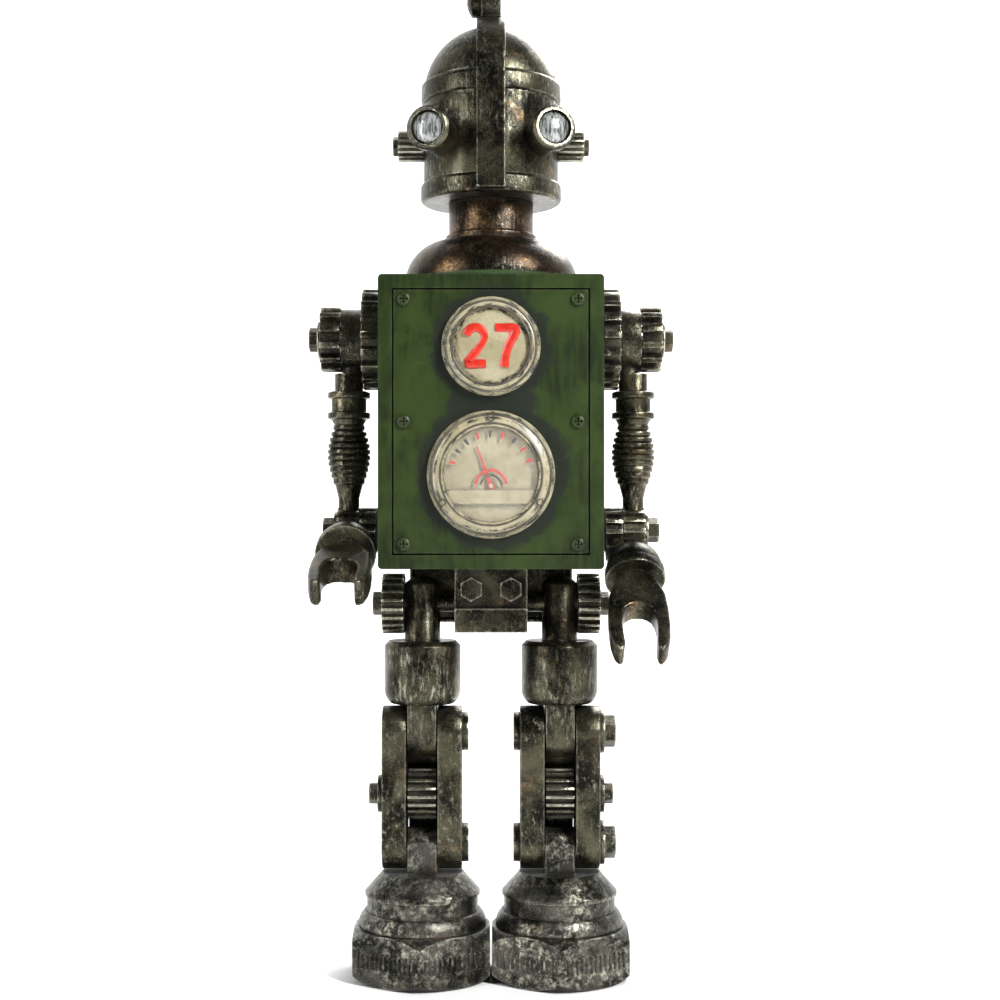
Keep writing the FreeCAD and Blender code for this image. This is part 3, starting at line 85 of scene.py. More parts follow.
# %% The node bench
class Bench:
    """One material's node tree, with short names for the nodes that the finishes use."""

    def __init__(self, name):
        self.material = bpy.data.materials.new(name)
        self.material.use_nodes = True
        self.tree = self.material.node_tree
        self.tree.nodes.clear()
        self.output = self.add("ShaderNodeOutputMaterial")
        place = self.add("ShaderNodeTexCoord").outputs["Object"]
        self.mm = self.vector("SCALE", place, scale=1 / MM)

    def add(self, kind, inputs=None, **settings):
        node = self.tree.nodes.new(kind)
        for key, value in settings.items():
            setattr(node, key, value)
        for key, value in (inputs or {}).items():
            self.feed(node.inputs[key], value)
        return node

    def feed(self, socket, value):
        if isinstance(value, bpy.types.NodeSocket):
            self.tree.links.new(value, socket)
        elif isinstance(value, (tuple, list)) and len(value) == 3 and socket.type == "RGBA":
            socket.default_value = (*value, 1)
        else:
            socket.default_value = value

    def math(self, operation, a, b=0.0):
        return self.add("ShaderNodeMath", {0: a, 1: b}, operation=operation).outputs[0]

    def vector(self, operation, a, b=None, scale=None):
        inputs = {0: a}
        if b is not None:
            inputs[1] = b
        if scale is not None:
            inputs["Scale"] = scale
        node = self.add("ShaderNodeVectorMath", inputs, operation=operation)
        return node.outputs["Value" if operation in ("LENGTH", "DISTANCE") else "Vector"]

    def stretch(self, x, y, z):
        """The millimetre coordinates, pulled out along an axis by a factor below 1."""
        return self.add("ShaderNodeMapping", {"Vector": self.mm, "Scale": (x, y, z)}).outputs[0]

    def noise(self, per_mm, detail=4.0, rough=0.55, where=None, warp=0.0):
        node = self.add("ShaderNodeTexNoise", {
            "Vector": self.mm if where is None else where, "Scale": per_mm,
            "Detail": detail, "Roughness": rough, "Distortion": warp})
        return node.outputs["Fac"]

    def ramp(self, value, start, end):
        """0 below start and 1 above end; swap them to turn it round."""
        node = self.add("ShaderNodeMapRange", {"Value": value, "From Min": start,
                                               "From Max": end}, interpolation_type="SMOOTHSTEP")
        return node.outputs[0]

    def mixed(self, kind, ending, share, a, b):
        node = self.add("ShaderNodeMix", data_type=kind)
        sockets = {socket.identifier: socket for socket in node.inputs}
        for key, value in (("Factor_Float", share), (f"A_{ending}", a), (f"B_{ending}", b)):
            self.feed(sockets[key], value)
        return next(out for out in node.outputs if out.identifier == f"Result_{ending}")

    def mix(self, share, a, b):
        """From colour a to colour b."""
        return self.mixed("RGBA", "Color", share, a, b)

    def blend(self, share, a, b):
        """The same for plain numbers."""
        return self.mixed("FLOAT", "Float", share, a, b)

    def edges(self, reach, inside=True, alone=False):
        """How near the surface is to an outer edge (inside) or an inner corner (not inside).
        Alone leaves the neighbouring parts out of it."""
        node = self.add("ShaderNodeAmbientOcclusion", {"Distance": reach * MM}, samples=6,
                        inside=inside, only_local=inside or alone)
        return self.math("SUBTRACT", 1.0, node.outputs["AO"])

    def bump(self, height, strength, depth_mm, onto=None):
        inputs = {"Height": height, "Strength": strength, "Distance": depth_mm * MM}
        if onto is not None:
            inputs["Normal"] = onto
        return self.add("ShaderNodeBump", inputs).outputs[0]

    def finish(self, **sockets):
        names = {key: key.replace("_", " ") for key in sockets}
        shader = self.add("ShaderNodeBsdfPrincipled")
        for key, value in sockets.items():
            self.feed(shader.inputs[names[key]], value)
        self.tree.links.new(shader.outputs[0], self.output.inputs["Surface"])
        return self.material


# %% [markdown]
# ## Antique gunmetal
# The metal parts are dark castings that were brushed over with silver: the brush leaves its
# colour on outer edges and on the crests of the rough skin, and copper shows where hands
# have rubbed.  One function makes all of these finishes, so that feet, gears and head differ
# only in how much silver and copper they carry.  Edges are found by looking from inside the
# part, and crevices by looking from outside; both need no painted map.  Crevices and the
# gaps next to neighbouring parts are darkened as painted shade, with a dull grime finish.

# %% Gunmetal finishes
def gunmetal(name, silver=0.5, copper=0.4, skin=1.0, grain=(1.0, 1.0, 0.55),
             silver_tint=(0.74, 0.73, 0.57), copper_tint=(0.34, 0.21, 0.095),
             dark=(0.006, 0.0058, 0.004), mid=(0.095, 0.088, 0.056), edge_reach=1.1,
             paint_below=None):
    b = Bench(name)
    cloud = b.noise(0.09, 5, 0.6, warp=0.4)
    skin_noise = b.noise(0.9, 6, 0.62)
    streaks = b.noise(0.9, 8, 0.72, where=b.stretch(*grain), warp=0.25)
    fine = b.noise(2.6, 5, 0.6)
    edge = b.edges(edge_reach)
    crevice = b.edges(5.0, inside=False)

    tone = b.ramp(b.math("ADD", b.math("MULTIPLY", cloud, 0.6), b.math("MULTIPLY", fine, 0.4)),
                  0.42, 0.60)
    colour = b.mix(tone, dark, mid)
    warm_spots = b.ramp(b.noise(0.10, 5, 0.6, warp=0.9), 0.60 - 0.12 * copper, 0.76)
    warm_grit = b.ramp(b.noise(1.1, 6, 0.75), 0.40, 0.60)
    warm = b.math("MULTIPLY", b.math("MULTIPLY", warm_spots, warm_grit), 0.25 + 0.6 * copper)
    colour = b.mix(warm, colour, copper_tint)

    rubbed = b.ramp(b.math("ADD", edge, b.math("MULTIPLY", b.math("SUBTRACT", streaks, 0.5), 0.9)),
                    0.30, 0.60)
    brushed = b.ramp(streaks, 0.56 - 0.12 * silver, 0.80 - 0.08 * silver)
    patches = b.ramp(b.noise(0.07, 3, 0.5), 0.34, 0.66)
    brushed = b.math("MULTIPLY", b.math("MULTIPLY", brushed, patches), 0.35 + 0.4 * silver)
    shine = b.math("MAXIMUM", b.math("MULTIPLY", rubbed, 0.55 + 0.4 * silver), brushed)
    shine = b.math("MULTIPLY", shine, b.ramp(crevice, 0.75, 0.25))
    colour = b.mix(shine, colour, silver_tint)
    # Crevices and gaps next to other parts are darkened: painted shade, also made rougher and less
    # metallic like grime.
    shade_and_grime = b.ramp(crevice, 0.35, 0.85)
    colour = b.mix(b.math("MULTIPLY", shade_and_grime, 0.85), colour, (0.006, 0.0055, 0.005))

    rough = b.blend(shine, b.blend(fine, 0.20, 0.40), 0.24)
    rough = b.blend(shade_and_grime, rough, 0.75)
    metallic = b.blend(shade_and_grime, b.blend(shine, 0.88, 0.97), 0.2)
    if paint_below is not None:
        level = b.add("ShaderNodeSeparateXYZ", {0: b.mm}).outputs["Z"]
        level = b.math("ADD", level, b.math("MULTIPLY", b.math("SUBTRACT", streaks, 0.5), 1.6))
        painted = b.ramp(level, paint_below + 0.3, paint_below - 0.3)
        colour = b.mix(painted, colour, b.mix(fine, (0.010, 0.026, 0.004), (0.030, 0.070, 0.012)))
        metallic = b.blend(painted, metallic, 0.0)
    bump = b.bump(skin_noise, 0.35 * skin, 0.35)
    bump = b.bump(streaks, 0.25 * skin, 0.20, bump)
    bump = b.bump(fine, 0.16 * skin, 0.10, bump)
    return b.finish(Base_Color=colour, Roughness=rough, Metallic=metallic, Normal=bump)


finishes = {
    "gunmetal": gunmetal("gunmetal", silver=0.45, copper=0.45),
    "foot_metal": gunmetal("foot_metal", silver=0.95, copper=0.25, skin=1.5,
                           grain=(0.6, 0.6, 0.6), mid=(0.085, 0.08, 0.07)),
    "head_metal": gunmetal("head_metal", silver=0.55, copper=0.6, grain=(1.0, 1.0, 0.45)),
    "thigh_metal": gunmetal("thigh_metal", silver=0.65, copper=0.55, grain=(1.0, 1.0, 0.30)),
    "claw_metal": gunmetal("claw_metal", silver=0.35, copper=0.75, skin=0.8),
    "rib_metal": gunmetal("rib_metal", silver=0.10, copper=0.2, edge_reach=0.3,
                          mid=(0.10, 0.095, 0.08)),
    "copper_metal": gunmetal("copper_metal", silver=0.25, copper=0.95,
                             mid=(0.070, 0.042, 0.024)),
    "dome_metal": gunmetal("dome_metal", silver=0.35, copper=0.8, mid=(0.070, 0.045, 0.027),
                           paint_below=low("shoulder_dome").z / MM + 1.3),
}
print("metal finishes:", ", ".join(finishes))


# %% [markdown]
# ## Green paint, worn to the primer
# The torso is a painted box.  Its green is thin and uneven, the groove round the cover and
# the gaps next to other parts are darkened as painted shade with a rough grime finish,
# edges are rubbed to dark metal, and a painted shadow darkens the paint round the two dials.
# The shadow zone is drawn from the distance to the two dials, with noise to fray its border.

# %% Green paint
def green_paint(name, dial_shadow=True):
    b = Bench(name)
    cloud = b.noise(0.06, 5, 0.6, warp=0.5)
    brush = b.noise(0.8, 6, 0.62, where=b.stretch(0.9, 1.0, 0.12), warp=0.2)
    across = b.noise(0.7, 6, 0.62, where=b.stretch(0.10, 1.0, 1.0), warp=0.2)
    fine = b.noise(2.2, 4, 0.6)
    edge = b.edges(0.9)
    crevice = b.edges(2.6, inside=False)
    paint = b.mix(b.ramp(brush, 0.35, 0.65), (0.006, 0.012, 0.002), (0.014, 0.027, 0.003))
    paint = b.mix(b.ramp(cloud, 0.42, 0.66), paint, (0.021, 0.037, 0.006))
    paint = b.mix(b.math("MULTIPLY", b.ramp(across, 0.62, 0.80), 0.5), paint, (0.042, 0.072, 0.018))
    dark = (0.010, 0.013, 0.009)
    if dial_shadow:
        # Painted shadow round the dials: the paint darkens with nearness to each dial.
        flat = b.vector("MULTIPLY", b.mm, (1.0, 0.0, 1.0))
        ragged = b.math("MULTIPLY", b.math("SUBTRACT", b.noise(0.10, 6, 0.65, warp=0.6), 0.5), 11.0)
        shade = None
        for centre, radius in ((badge, 15.4), (gauge, 19.8), ((badge + gauge) / 2, 11.0)):
            spot = (centre.x / MM, 0.0, centre.z / MM)
            away = b.math("ADD", b.vector("DISTANCE", flat, spot), ragged)
            zone = b.ramp(away, radius + 3.0, radius + 0.5)
            shade = zone if shade is None else b.math("MAXIMUM", shade, zone)
        shade = b.math("MULTIPLY", shade, b.blend(b.ramp(brush, 0.3, 0.7), 0.90, 1.0))
        paint = b.mix(shade, paint, dark)
    worn = b.ramp(b.math("ADD", edge, b.math("MULTIPLY", b.math("SUBTRACT", brush, 0.5), 0.8)),
                  0.52, 0.80)
    paint = b.mix(b.math("MULTIPLY", worn, 0.8), paint, (0.13, 0.135, 0.085))
    # Groove and gaps next to other parts: painted shade, with a rougher grime finish.
    shade_and_grime = b.ramp(crevice, 0.30, 0.75)
    paint = b.mix(b.math("MULTIPLY", shade_and_grime, 0.9), paint, (0.006, 0.008, 0.005))
    rough = b.blend(shade_and_grime, b.blend(fine, 0.30, 0.46), 0.7)
    bump = b.bump(brush, 0.20, 0.14)
    bump = b.bump(across, 0.12, 0.12, bump)
    bump = b.bump(fine, 0.10, 0.08, bump)
    return b.finish(Base_Color=paint, Roughness=rough, Metallic=0.0, Normal=bump,
                    Specular_IOR_Level=0.32)


finishes["green_paint"] = green_paint("green_paint")
finishes["screw_metal"] = green_paint("screw_paint", dial_shadow=False)
print("paint finishes ready")


# %% [markdown]
# ## Cream enamel with black scratches
# Dial faces and their rings were sprayed cream over black.  The cream has worn through in
# broken arcs that follow the rings, because a cloth wiped round them.  Wear that follows a
# circle needs coordinates measured round that circle: radius and angle.

# %% Cream enamel
def cream_enamel(name, centre, rings=(), wear=0.5):
    b = Bench(name)
    spot = (centre.x / MM, 0.0, centre.z / MM)
    flat = b.vector("SUBTRACT", b.vector("MULTIPLY", b.mm, (1.0, 0.0, 1.0)), spot)
    radius = b.vector("LENGTH", flat)
    split = b.add("ShaderNodeSeparateXYZ", {0: flat})
    angle = b.math("ARCTAN2", split.outputs["Z"], split.outputs["X"])
    round_the_dial = b.add("ShaderNodeCombineXYZ", {
        "X": b.math("MULTIPLY", radius, 0.9), "Y": b.math("MULTIPLY", angle, 3.0)}).outputs[0]
    arcs = b.noise(1.0, 6, 0.65, where=round_the_dial, warp=0.3)
    cloud = b.noise(0.16, 4, 0.6)
    fine = b.noise(2.4, 5, 0.62)
    crevice = b.edges(1.8, inside=False, alone=True)
    edge = b.edges(0.7)
    cream = b.mix(b.ramp(cloud, 0.35, 0.65), (0.28, 0.245, 0.145), (0.36, 0.325, 0.21))
    cream = b.mix(b.math("MULTIPLY", b.ramp(fine, 0.52, 0.70), 0.4), cream, (0.25, 0.19, 0.10))
    scratch = b.ramp(b.blend(0.35, arcs, fine), 0.56 - 0.07 * wear, 0.54)
    scratch = b.math("MULTIPLY", scratch, b.ramp(b.noise(0.30, 4, 0.6), 0.32, 0.50))
    near_ring = 0.10
    for ring_radius, width in rings:
        off = b.math("ABSOLUTE", b.math("SUBTRACT", radius, ring_radius))
        line = b.ramp(b.math("ADD", off, b.math("MULTIPLY", fine, width * 0.8)),
                      width * 1.6, width * 0.5)
        near_ring = b.math("MAXIMUM", near_ring, line)
    black = b.math("MULTIPLY", scratch, near_ring)
    rubbed = b.ramp(b.math("ADD", edge, b.math("MULTIPLY", b.math("SUBTRACT", arcs, 0.5), 1.4)),
                    0.40, 0.62)
    black = b.math("MAXIMUM", black, b.math("MULTIPLY", rubbed, 0.9))
    # The dial's own hollows are painted black as well: painted shade.
    black = b.math("MAXIMUM", black, b.math("MULTIPLY", b.ramp(crevice, 0.35, 0.8), 0.95))
    colour = b.mix(black, cream, (0.012, 0.011, 0.010))
    rough = b.blend(black, 0.28, 0.5)
    bump = b.bump(b.math("SUBTRACT", 1.0, black), 0.35, 0.10)
    bump = b.bump(fine, 0.08, 0.08, bump)
    return b.finish(Base_Color=colour, Roughness=rough, Normal=bump, Coat_Weight=0.35,
                    Coat_Roughness=0.12)


badge_ring = (high("badge_face").x - low("badge_face").x) / 2 / MM
gauge_ring = (high("gauge_dial").x - low("gauge_dial").x) / 2 / MM
badge_rim = (high("badge_bezel").x - low("badge_bezel").x) / 2 / MM
gauge_rim = (high("gauge_bezel").x - low("gauge_bezel").x) / 2 / MM
finishes["badge_enamel"] = cream_enamel(
    "badge_enamel", badge,
    ((badge_ring - 0.4, 0.9), (badge_ring + 1.0, 0.7), (badge_rim - 0.5, 1.1)), wear=1.2)
finishes["gauge_enamel"] = cream_enamel(
    "gauge_enamel", gauge,
    ((gauge_ring + 0.5, 0.9), (gauge_rim - 2.2, 0.7), (gauge_rim - 0.8, 1.2)), wear=1.2)
print("enamel rings at", round(badge_ring, 1), round(gauge_ring, 1), "mm")


# %% [markdown]
# ## Small finishes: red enamel, glass, brass and steel
# The dial's figures are red enamel with darker pools and chips.  The eye lenses are frosted
# glass over silver, brightest in the middle with a black rim.  The clockwork inside is plain
# brass and steel, turned and oiled.

# %% Red enamel, glass, brass and steel
def red_enamel():
    b = Bench("red_enamel")
    cloud = b.noise(0.5, 5, 0.6)
    edge = b.edges(0.35)
    chips = b.ramp(b.math("ADD", b.noise(1.6, 6, 0.7), b.math("MULTIPLY", edge, 0.25)), 0.66, 0.74)
    colour = b.mix(b.ramp(cloud, 0.35, 0.65), (0.40, 0.014, 0.006), (0.56, 0.026, 0.009))
    colour = b.mix(b.math("MULTIPLY", chips, 0.8), colour, (0.10, 0.012, 0.008))
    bump = b.bump(b.noise(1.8, 5, 0.6), 0.2, 0.10)
    return b.finish(Base_Color=colour, Roughness=0.34, Normal=bump, Coat_Weight=0.3,
                    Coat_Roughness=0.15)


def dial_glass():
    b = Bench("dial_glass")
    smear = b.noise(0.25, 5, 0.65, warp=0.8)
    rough = b.blend(b.ramp(smear, 0.45, 0.7), 0.03, 0.12)
    bump = b.bump(b.noise(0.12, 3, 0.5), 0.08, 0.2)
    return b.finish(Base_Color=(0.95, 0.93, 0.88), Roughness=rough, Normal=bump, Alpha=0.05,
                    Specular_IOR_Level=1.0)


lens_half_width = 4.7 * MM


def eye_glass():
    """Frosted glass over silver foil, streaked downwards, with a dark rim."""
    b = Bench("eye_glass")
    rim = None
    for side in (low("eye_lenses").x, high("eye_lenses").x):
        inner = side - math.copysign(lens_half_width, side)
        away = b.vector("DISTANCE", b.vector("MULTIPLY", b.mm, (1.0, 0.0, 1.0)),
                        (inner / MM, 0.0, middle("eye_lenses").z / MM))
        rim = away if rim is None else b.math("MINIMUM", rim, away)
    streaks = b.noise(1.5, 7, 0.68, where=b.stretch(1.0, 1.0, 0.14), warp=0.3)
    cloud = b.noise(0.35, 4, 0.6)
    colour = b.mix(b.ramp(streaks, 0.36, 0.62), (0.03, 0.032, 0.03), (0.40, 0.42, 0.41))
    colour = b.mix(b.ramp(cloud, 0.55, 0.75), colour, (0.22, 0.23, 0.22))
    ragged = b.math("ADD", rim, b.math("MULTIPLY", cloud, 1.2))
    colour = b.mix(b.ramp(ragged, 4.3, 5.2), colour, (0.010, 0.010, 0.010))
    bump = b.bump(streaks, 0.30, 0.15)
    return b.finish(Base_Color=colour, Roughness=b.blend(streaks, 0.18, 0.38), Metallic=0.35,
                    Normal=bump, Coat_Weight=0.8, Coat_Roughness=0.06)


def plain_metal(name, light, shade, grain=(1.0, 1.0, 1.0), rough=0.3):
    b = Bench(name)
    lines = b.noise(1.4, 6, 0.65, where=b.stretch(*grain))
    edge = b.edges(0.6)
    colour = b.mix(b.ramp(lines, 0.35, 0.65), shade, light)
    colour = b.mix(b.math("MULTIPLY", b.ramp(edge, 0.5, 0.9), 0.5), colour, (0.8, 0.74, 0.6))
    # Crevices and gaps next to other parts are darkened: painted shade.
    colour = b.mix(b.ramp(b.edges(2.5, inside=False), 0.4, 0.9), colour, (0.02, 0.015, 0.01))
    bump = b.bump(lines, 0.15, 0.08)
    return b.finish(Base_Color=colour, Metallic=1.0, Normal=bump,
                    Roughness=b.blend(lines, rough - 0.08, rough + 0.12))


finishes["red_enamel"] = red_enamel()
finishes["dial_glass"] = dial_glass()
finishes["eye_glass"] = eye_glass()
finishes["clock_brass"] = plain_metal("clock_brass", (0.62, 0.42, 0.15), (0.34, 0.22, 0.08))
finishes["arbor_steel"] = plain_metal("arbor_steel", (0.50, 0.50, 0.50), (0.22, 0.22, 0.23),
                                      grain=(1.0, 0.1, 1.0))
finishes["spring_steel"] = plain_metal("spring_steel", (0.16, 0.19, 0.30), (0.07, 0.08, 0.12))
finishes["key_steel"] = gunmetal("key_steel", silver=0.8, copper=0.5, skin=0.7)
print(len(finishes), "finishes in all")


# %% [markdown]
# ## Dress the CAD parts
# A CAD mesh has razor edges, and no real casting does.  A bevel modifier on the finished
# part rounds every hard edge a little without touching the part itself, so light catches
# the rim of each plate.  The part's own material slots then take a finish.  Which finish
# goes where follows the names of the parts.

# %% Choose a finish for each part
def finish_for(node):
    if node in ("torso_case", "front_cover", "back_cover"):
        return "green_paint"
    if node == "cover_screws":
        return "screw_metal"
    if node in ("badge_bezel", "badge_face"):
        return "badge_enamel"
    if node in ("gauge_bezel", "gauge_dial", "gauge_screws"):
        return "gauge_enamel"
    if node == "gauge_needle":
        return "red_enamel"
    if node == "gauge_glass":
        return "dial_glass"
    if node == "eye_lenses":
        return "eye_glass"
    if node in ("great_wheel", "second_wheel", "crank_disc", "motor_plates"):
        return "clock_brass"
    if node in ("centre_arbor", "governor_fly", "winding_arbor", "motor_pillars"):
        return "arbor_steel"
    if node == "mainspring":
        return "spring_steel"
    if node == "winding_key":
        return "key_steel"
    if node.endswith("_foot") or node.endswith("_instep"):
        return "foot_metal"
    if node == "shoulder_dome":
        return "dome_metal"
    if node == "neck_post":
        return "copper_metal"
    if node.startswith("head_") or node in ("crest_rivet", "eye_tubes"):
        return "head_metal"
    if node.endswith("_thigh"):
        return "thigh_metal"
    return "gunmetal"


def soften(piece, width_mm, segments=2):
    """Weld the part's seams and round its hard edges."""
    weld = piece.modifiers.new("weld", "WELD")
    weld.merge_threshold = 0.005 * MM
    bevel = piece.modifiers.new("rounded edges", "BEVEL")
    bevel.width = width_mm * MM
    bevel.segments = segments
    bevel.limit_method = "ANGLE"
    bevel.angle_limit = math.radians(32)
    bevel.harden_normals = True
    bevel.use_clamp_overlap = True


def rounding(node):
    """Edge radius in millimetres: generous on castings, fine on clockwork and dials."""
    if node == "torso_case" or node.endswith(("_foot", "_forearm")):
        return 0.6
    if node in ("gauge_needle", "gauge_glass", "mainspring", "eye_lenses"):
        return 0.0
    if finish_for(node) in ("clock_brass", "arbor_steel") or node.endswith("upper_arm"):
        return 0.15
    return 0.3


def cast(piece, grain_mm, passes):
    """Turn a sharp block into a casting: an even skin of small faces, smoothed a little."""
    skin = piece.modifiers.new("skin", "REMESH")
    skin.mode = "VOXEL"
    skin.voxel_size = grain_mm * MM
    skin.use_smooth_shade = True
    smooth = piece.modifiers.new("smooth", "SMOOTH")
    smooth.factor = 0.5
    smooth.iterations = passes


for name, piece in nodes.items():
    piece.data.materials.clear()
    piece.data.materials.append(finishes[finish_for(name)])
    if name == "head_crest":
        cast(piece, 0.35, 5)
    elif rounding(name):
        soften(piece, rounding(name))
print("dressed", len(nodes), "parts")


# %% [markdown]
# ## Pieces that the CAD model leaves plain
# A few things are too fine for the CAD model and too plain to leave out: the figure on the
# badge, the scale of the gauge and the serrated band round each foot. Each is a new mesh.

# %% A mesh from points and faces
def mesh_piece(name, points, faces, finish, body, smooth=False):
    mesh = bpy.data.meshes.new(name)
    mesh.from_pydata([tuple(point) for point in points], [], faces)
    mesh.update()
    if smooth:
        mesh.polygons.foreach_set("use_smooth", [True] * len(mesh.polygons))
    mesh.materials.append(finishes[finish])
    piece = bpy.data.objects.new(name, mesh)
    bpy.context.scene.collection.objects.link(piece)
    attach(piece, body)
    return piece


class Strokes:
    """Collects raised bars, each drawn as a rounded-top strip along a list of points."""

    profile = ((-0.5, 0.0), (-0.42, 0.55), (-0.2, 0.95), (0.2, 0.95), (0.42, 0.55), (0.5, 0.0))

    def __init__(self, up):
        self.points, self.faces = [], []
        self.up = up

    def bar(self, path, width, height):
        """A bar over the points in path; width may be a list with one width for each point."""
        widths = width if isinstance(width, list) else [width] * len(path)
        first = len(self.points)
        for index, (point, wide) in enumerate(zip(path, widths)):
            before, after = path[max(index - 1, 0)], path[min(index + 1, len(path) - 1)]
            along = (Vector(after) - Vector(before)).normalized()
            side = along.cross(self.up).normalized()
            for across, rise in self.profile:
                self.points.append(Vector(point) + side * across * wide + self.up * rise * height)
        row = len(self.profile)
        for index in range(len(path) - 1):
            a = first + index * row
            for k in range(row - 1):
                self.faces.append((a + k, a + k + 1, a + row + k + 1, a + row + k))
            self.faces.append((a + row - 1, a, a + row, a + 2 * row - 1))
        self.faces.append(tuple(range(first + row - 1, first - 1, -1)))
        last = len(self.points) - row
        self.faces.append(tuple(range(last, last + row)))


# %% [markdown]
# ### The figure on the badge and the scale of the gauge
# Both dials are flat discs facing the viewer, so their marks are drawn with polar
# coordinates round the dial's middle.  The badge carries a plain two-digit figure in thick
# rounded strokes; the gauge has nine marks over its upper half and two small arcs round
# the needle's pivot.

# %% Badge figure and gauge scale
FRONT = Vector((0, -1, 0))


def on_dial(centre, face_y, x, z):
    return Vector((centre.x + x * MM, face_y, centre.z + z * MM))


def arc(cx, cz, radius_x, radius_z, start, end, steps=14):
    """Points on an ellipse, angles in degrees counted from the right, upwards."""
    points = []
    for step in range(steps + 1):
        angle = math.radians(start + (end - start) * step / steps)
        points.append((cx + radius_x * math.cos(angle), cz + radius_z * math.sin(angle)))
    return points


def badge_figure():
    strokes = Strokes(FRONT)
    face = low("badge_face").y + 0.75 * MM
    stroke_width, stroke_height = 2.9 * MM, 1.0 * MM
    two = (arc(-4.4, 2.5, 2.6, 2.6, 170, -20)
           + [(-2.6, 0.3), (-4.6, -2.2), (-6.6, -4.6), (-6.5, -5.0), (-5.9, -5.1),
              (-4.0, -5.1), (-1.4, -5.1)])
    seven = [(1.2, 5.0), (3.8, 5.0), (6.2, 5.0), (6.9, 4.8), (7.0, 4.3), (6.3, 2.6), (5.2, 0.6),
             (4.4, -1.4), (3.9, -3.4), (3.7, -6.0)]
    for line in (two, seven):
        path = [on_dial(badge, face, x, z) for x, z in line]
        strokes.bar(path, stroke_width, stroke_height)
    return mesh_piece("badge_figure", strokes.points, strokes.faces, "red_enamel", "torso")


def gauge_scale():
    face = low("gauge_dial").y + 0.25 * MM
    red, dark = Strokes(FRONT), Strokes(FRONT)
    first_angle, angle_step = 163, 17.9
    inner, outer = 10.5, 12.4
    for mark in range(9):
        angle = math.radians(first_angle - mark * angle_step)
        ends = [on_dial(gauge, face, r * math.cos(angle), r * math.sin(angle))
                for r in (inner, (inner + outer) / 2, outer)]
        strokes = red if mark in (0, 3, 5, 7, 8) else dark
        strokes.bar(ends, [0.5 * MM, 0.9 * MM, 1.0 * MM], 0.35 * MM)
    for radius, wide, strokes in ((4.4, 0.9, red), (2.9, 0.45, dark)):
        ring = [on_dial(gauge, face, x, z)
                for x, z in arc(0, -3.2, radius, radius, 5, 175, 18)]
        strokes.bar(ring, wide * MM, 0.3 * MM)
    mesh_piece("gauge_scale_red", red.points, red.faces, "red_enamel", "torso")
    mesh_piece("gauge_scale_dark", dark.points, dark.faces, "gunmetal", "torso")


def bezel_ridges():
    """Two raised rings on each bezel."""
    strokes = Strokes(FRONT)
    rings = ((badge, low("badge_bezel").y + 0.45 * MM, badge_rim - 1.3, 0.9),
             (badge, low("badge_bezel").y + 0.25 * MM, badge_ring + 0.4, 0.7),
             (gauge, low("gauge_bezel").y + 0.9 * MM, gauge_rim - 1.2, 0.9),
             (gauge, low("gauge_bezel").y + 0.30 * MM, gauge_ring + 0.9, 0.9))
    for centre, face, radius, width in rings:
        circle = arc(0, 0, radius, radius, 0, 360, 96)
        strokes.bar([on_dial(centre, face, x, z) for x, z in circle], width * MM, 0.45 * MM)
    return strokes


badge_figure()
gauge_scale()
ridges = bezel_ridges()
mesh_piece("bezel_ridges", ridges.points, ridges.faces, "gauge_enamel", "torso",
           smooth=True)
print("dial marks drawn")


# %% [markdown]
# ### Serrated bands on the feet
# Each foot is a great hexagon nut with a corner to the front.  A band of short upright ribs
# runs round its lower half, on every flat except the two that face sideways.

# %% Serrated bands
def serrated_band(side):
    foot = f"{side}_foot"
    centre = middle(foot)
    flat = (high(foot).x - low(foot).x) / 2
    half_side = flat / math.sqrt(3)
    rib_pitch = 1.62 * MM
    random.seed(len(side))
    points, faces = [], []
    for turn in (60, 120, 240, 300):
        outward = Vector((math.cos(math.radians(turn)), math.sin(math.radians(turn)), 0))
        strokes = Strokes(outward)
        sideways = Vector((-outward.y, outward.x, 0))
        for rib in range(-6, 7):
            offset = rib * rib_pitch
            if abs(offset) > half_side - 1.6 * MM:
                continue
            foot_point = centre + outward * (flat - 0.12 * MM) + sideways * offset
            base, top = (5.0 + random.uniform(-0.2, 0.2)), (9.8 + random.uniform(-0.3, 0.2))
            path = [Vector((foot_point.x, foot_point.y, z * MM)) for z in
                    (base, base + 0.5, (base + top) / 2, top - 0.5, top)]
            strokes.bar(path, [0.6 * MM, 1.05 * MM, 1.05 * MM, 1.05 * MM, 0.6 * MM],
                        random.uniform(0.5, 0.62) * MM)
        faces += [tuple(index + len(points) for index in face) for face in strokes.faces]
        points += strokes.points
    return mesh_piece(f"{side}_foot_band", points, faces, "rib_metal", foot)


for side in ("left", "right"):
    serrated_band(side)
print("foot bands done")


# %% [markdown]
# ### Wrench claws
# The CAD claws are plain blocks with the right reach and opening.  A real one is forged: the
# jaws curve out from the palm, hook inwards a little and end in rounded tips.  The outline is
# drawn once, in the claw's own plane, thickened, skinned with small even faces and smoothed,
# and then turned to each forearm's own direction.

# %% Wrench claws
def claw_outline():
    half = [(0.0, 32.6), (2.2, 33.0), (3.8, 34.4), (4.7, 37.0), (5.0, 40.0), (4.8, 43.5),
            (4.5, 47.0), (4.9, 49.2), (6.3, 49.9), (7.6, 48.4), (8.4, 44.6), (8.7, 40.0),
            (8.6, 34.0), (8.1, 28.5), (6.4, 24.0), (4.1, 21.2), (4.0, 14.0), (0.0, 14.0)]
    return half + [(-x, reach) for x, reach in reversed(half[1:-1])]


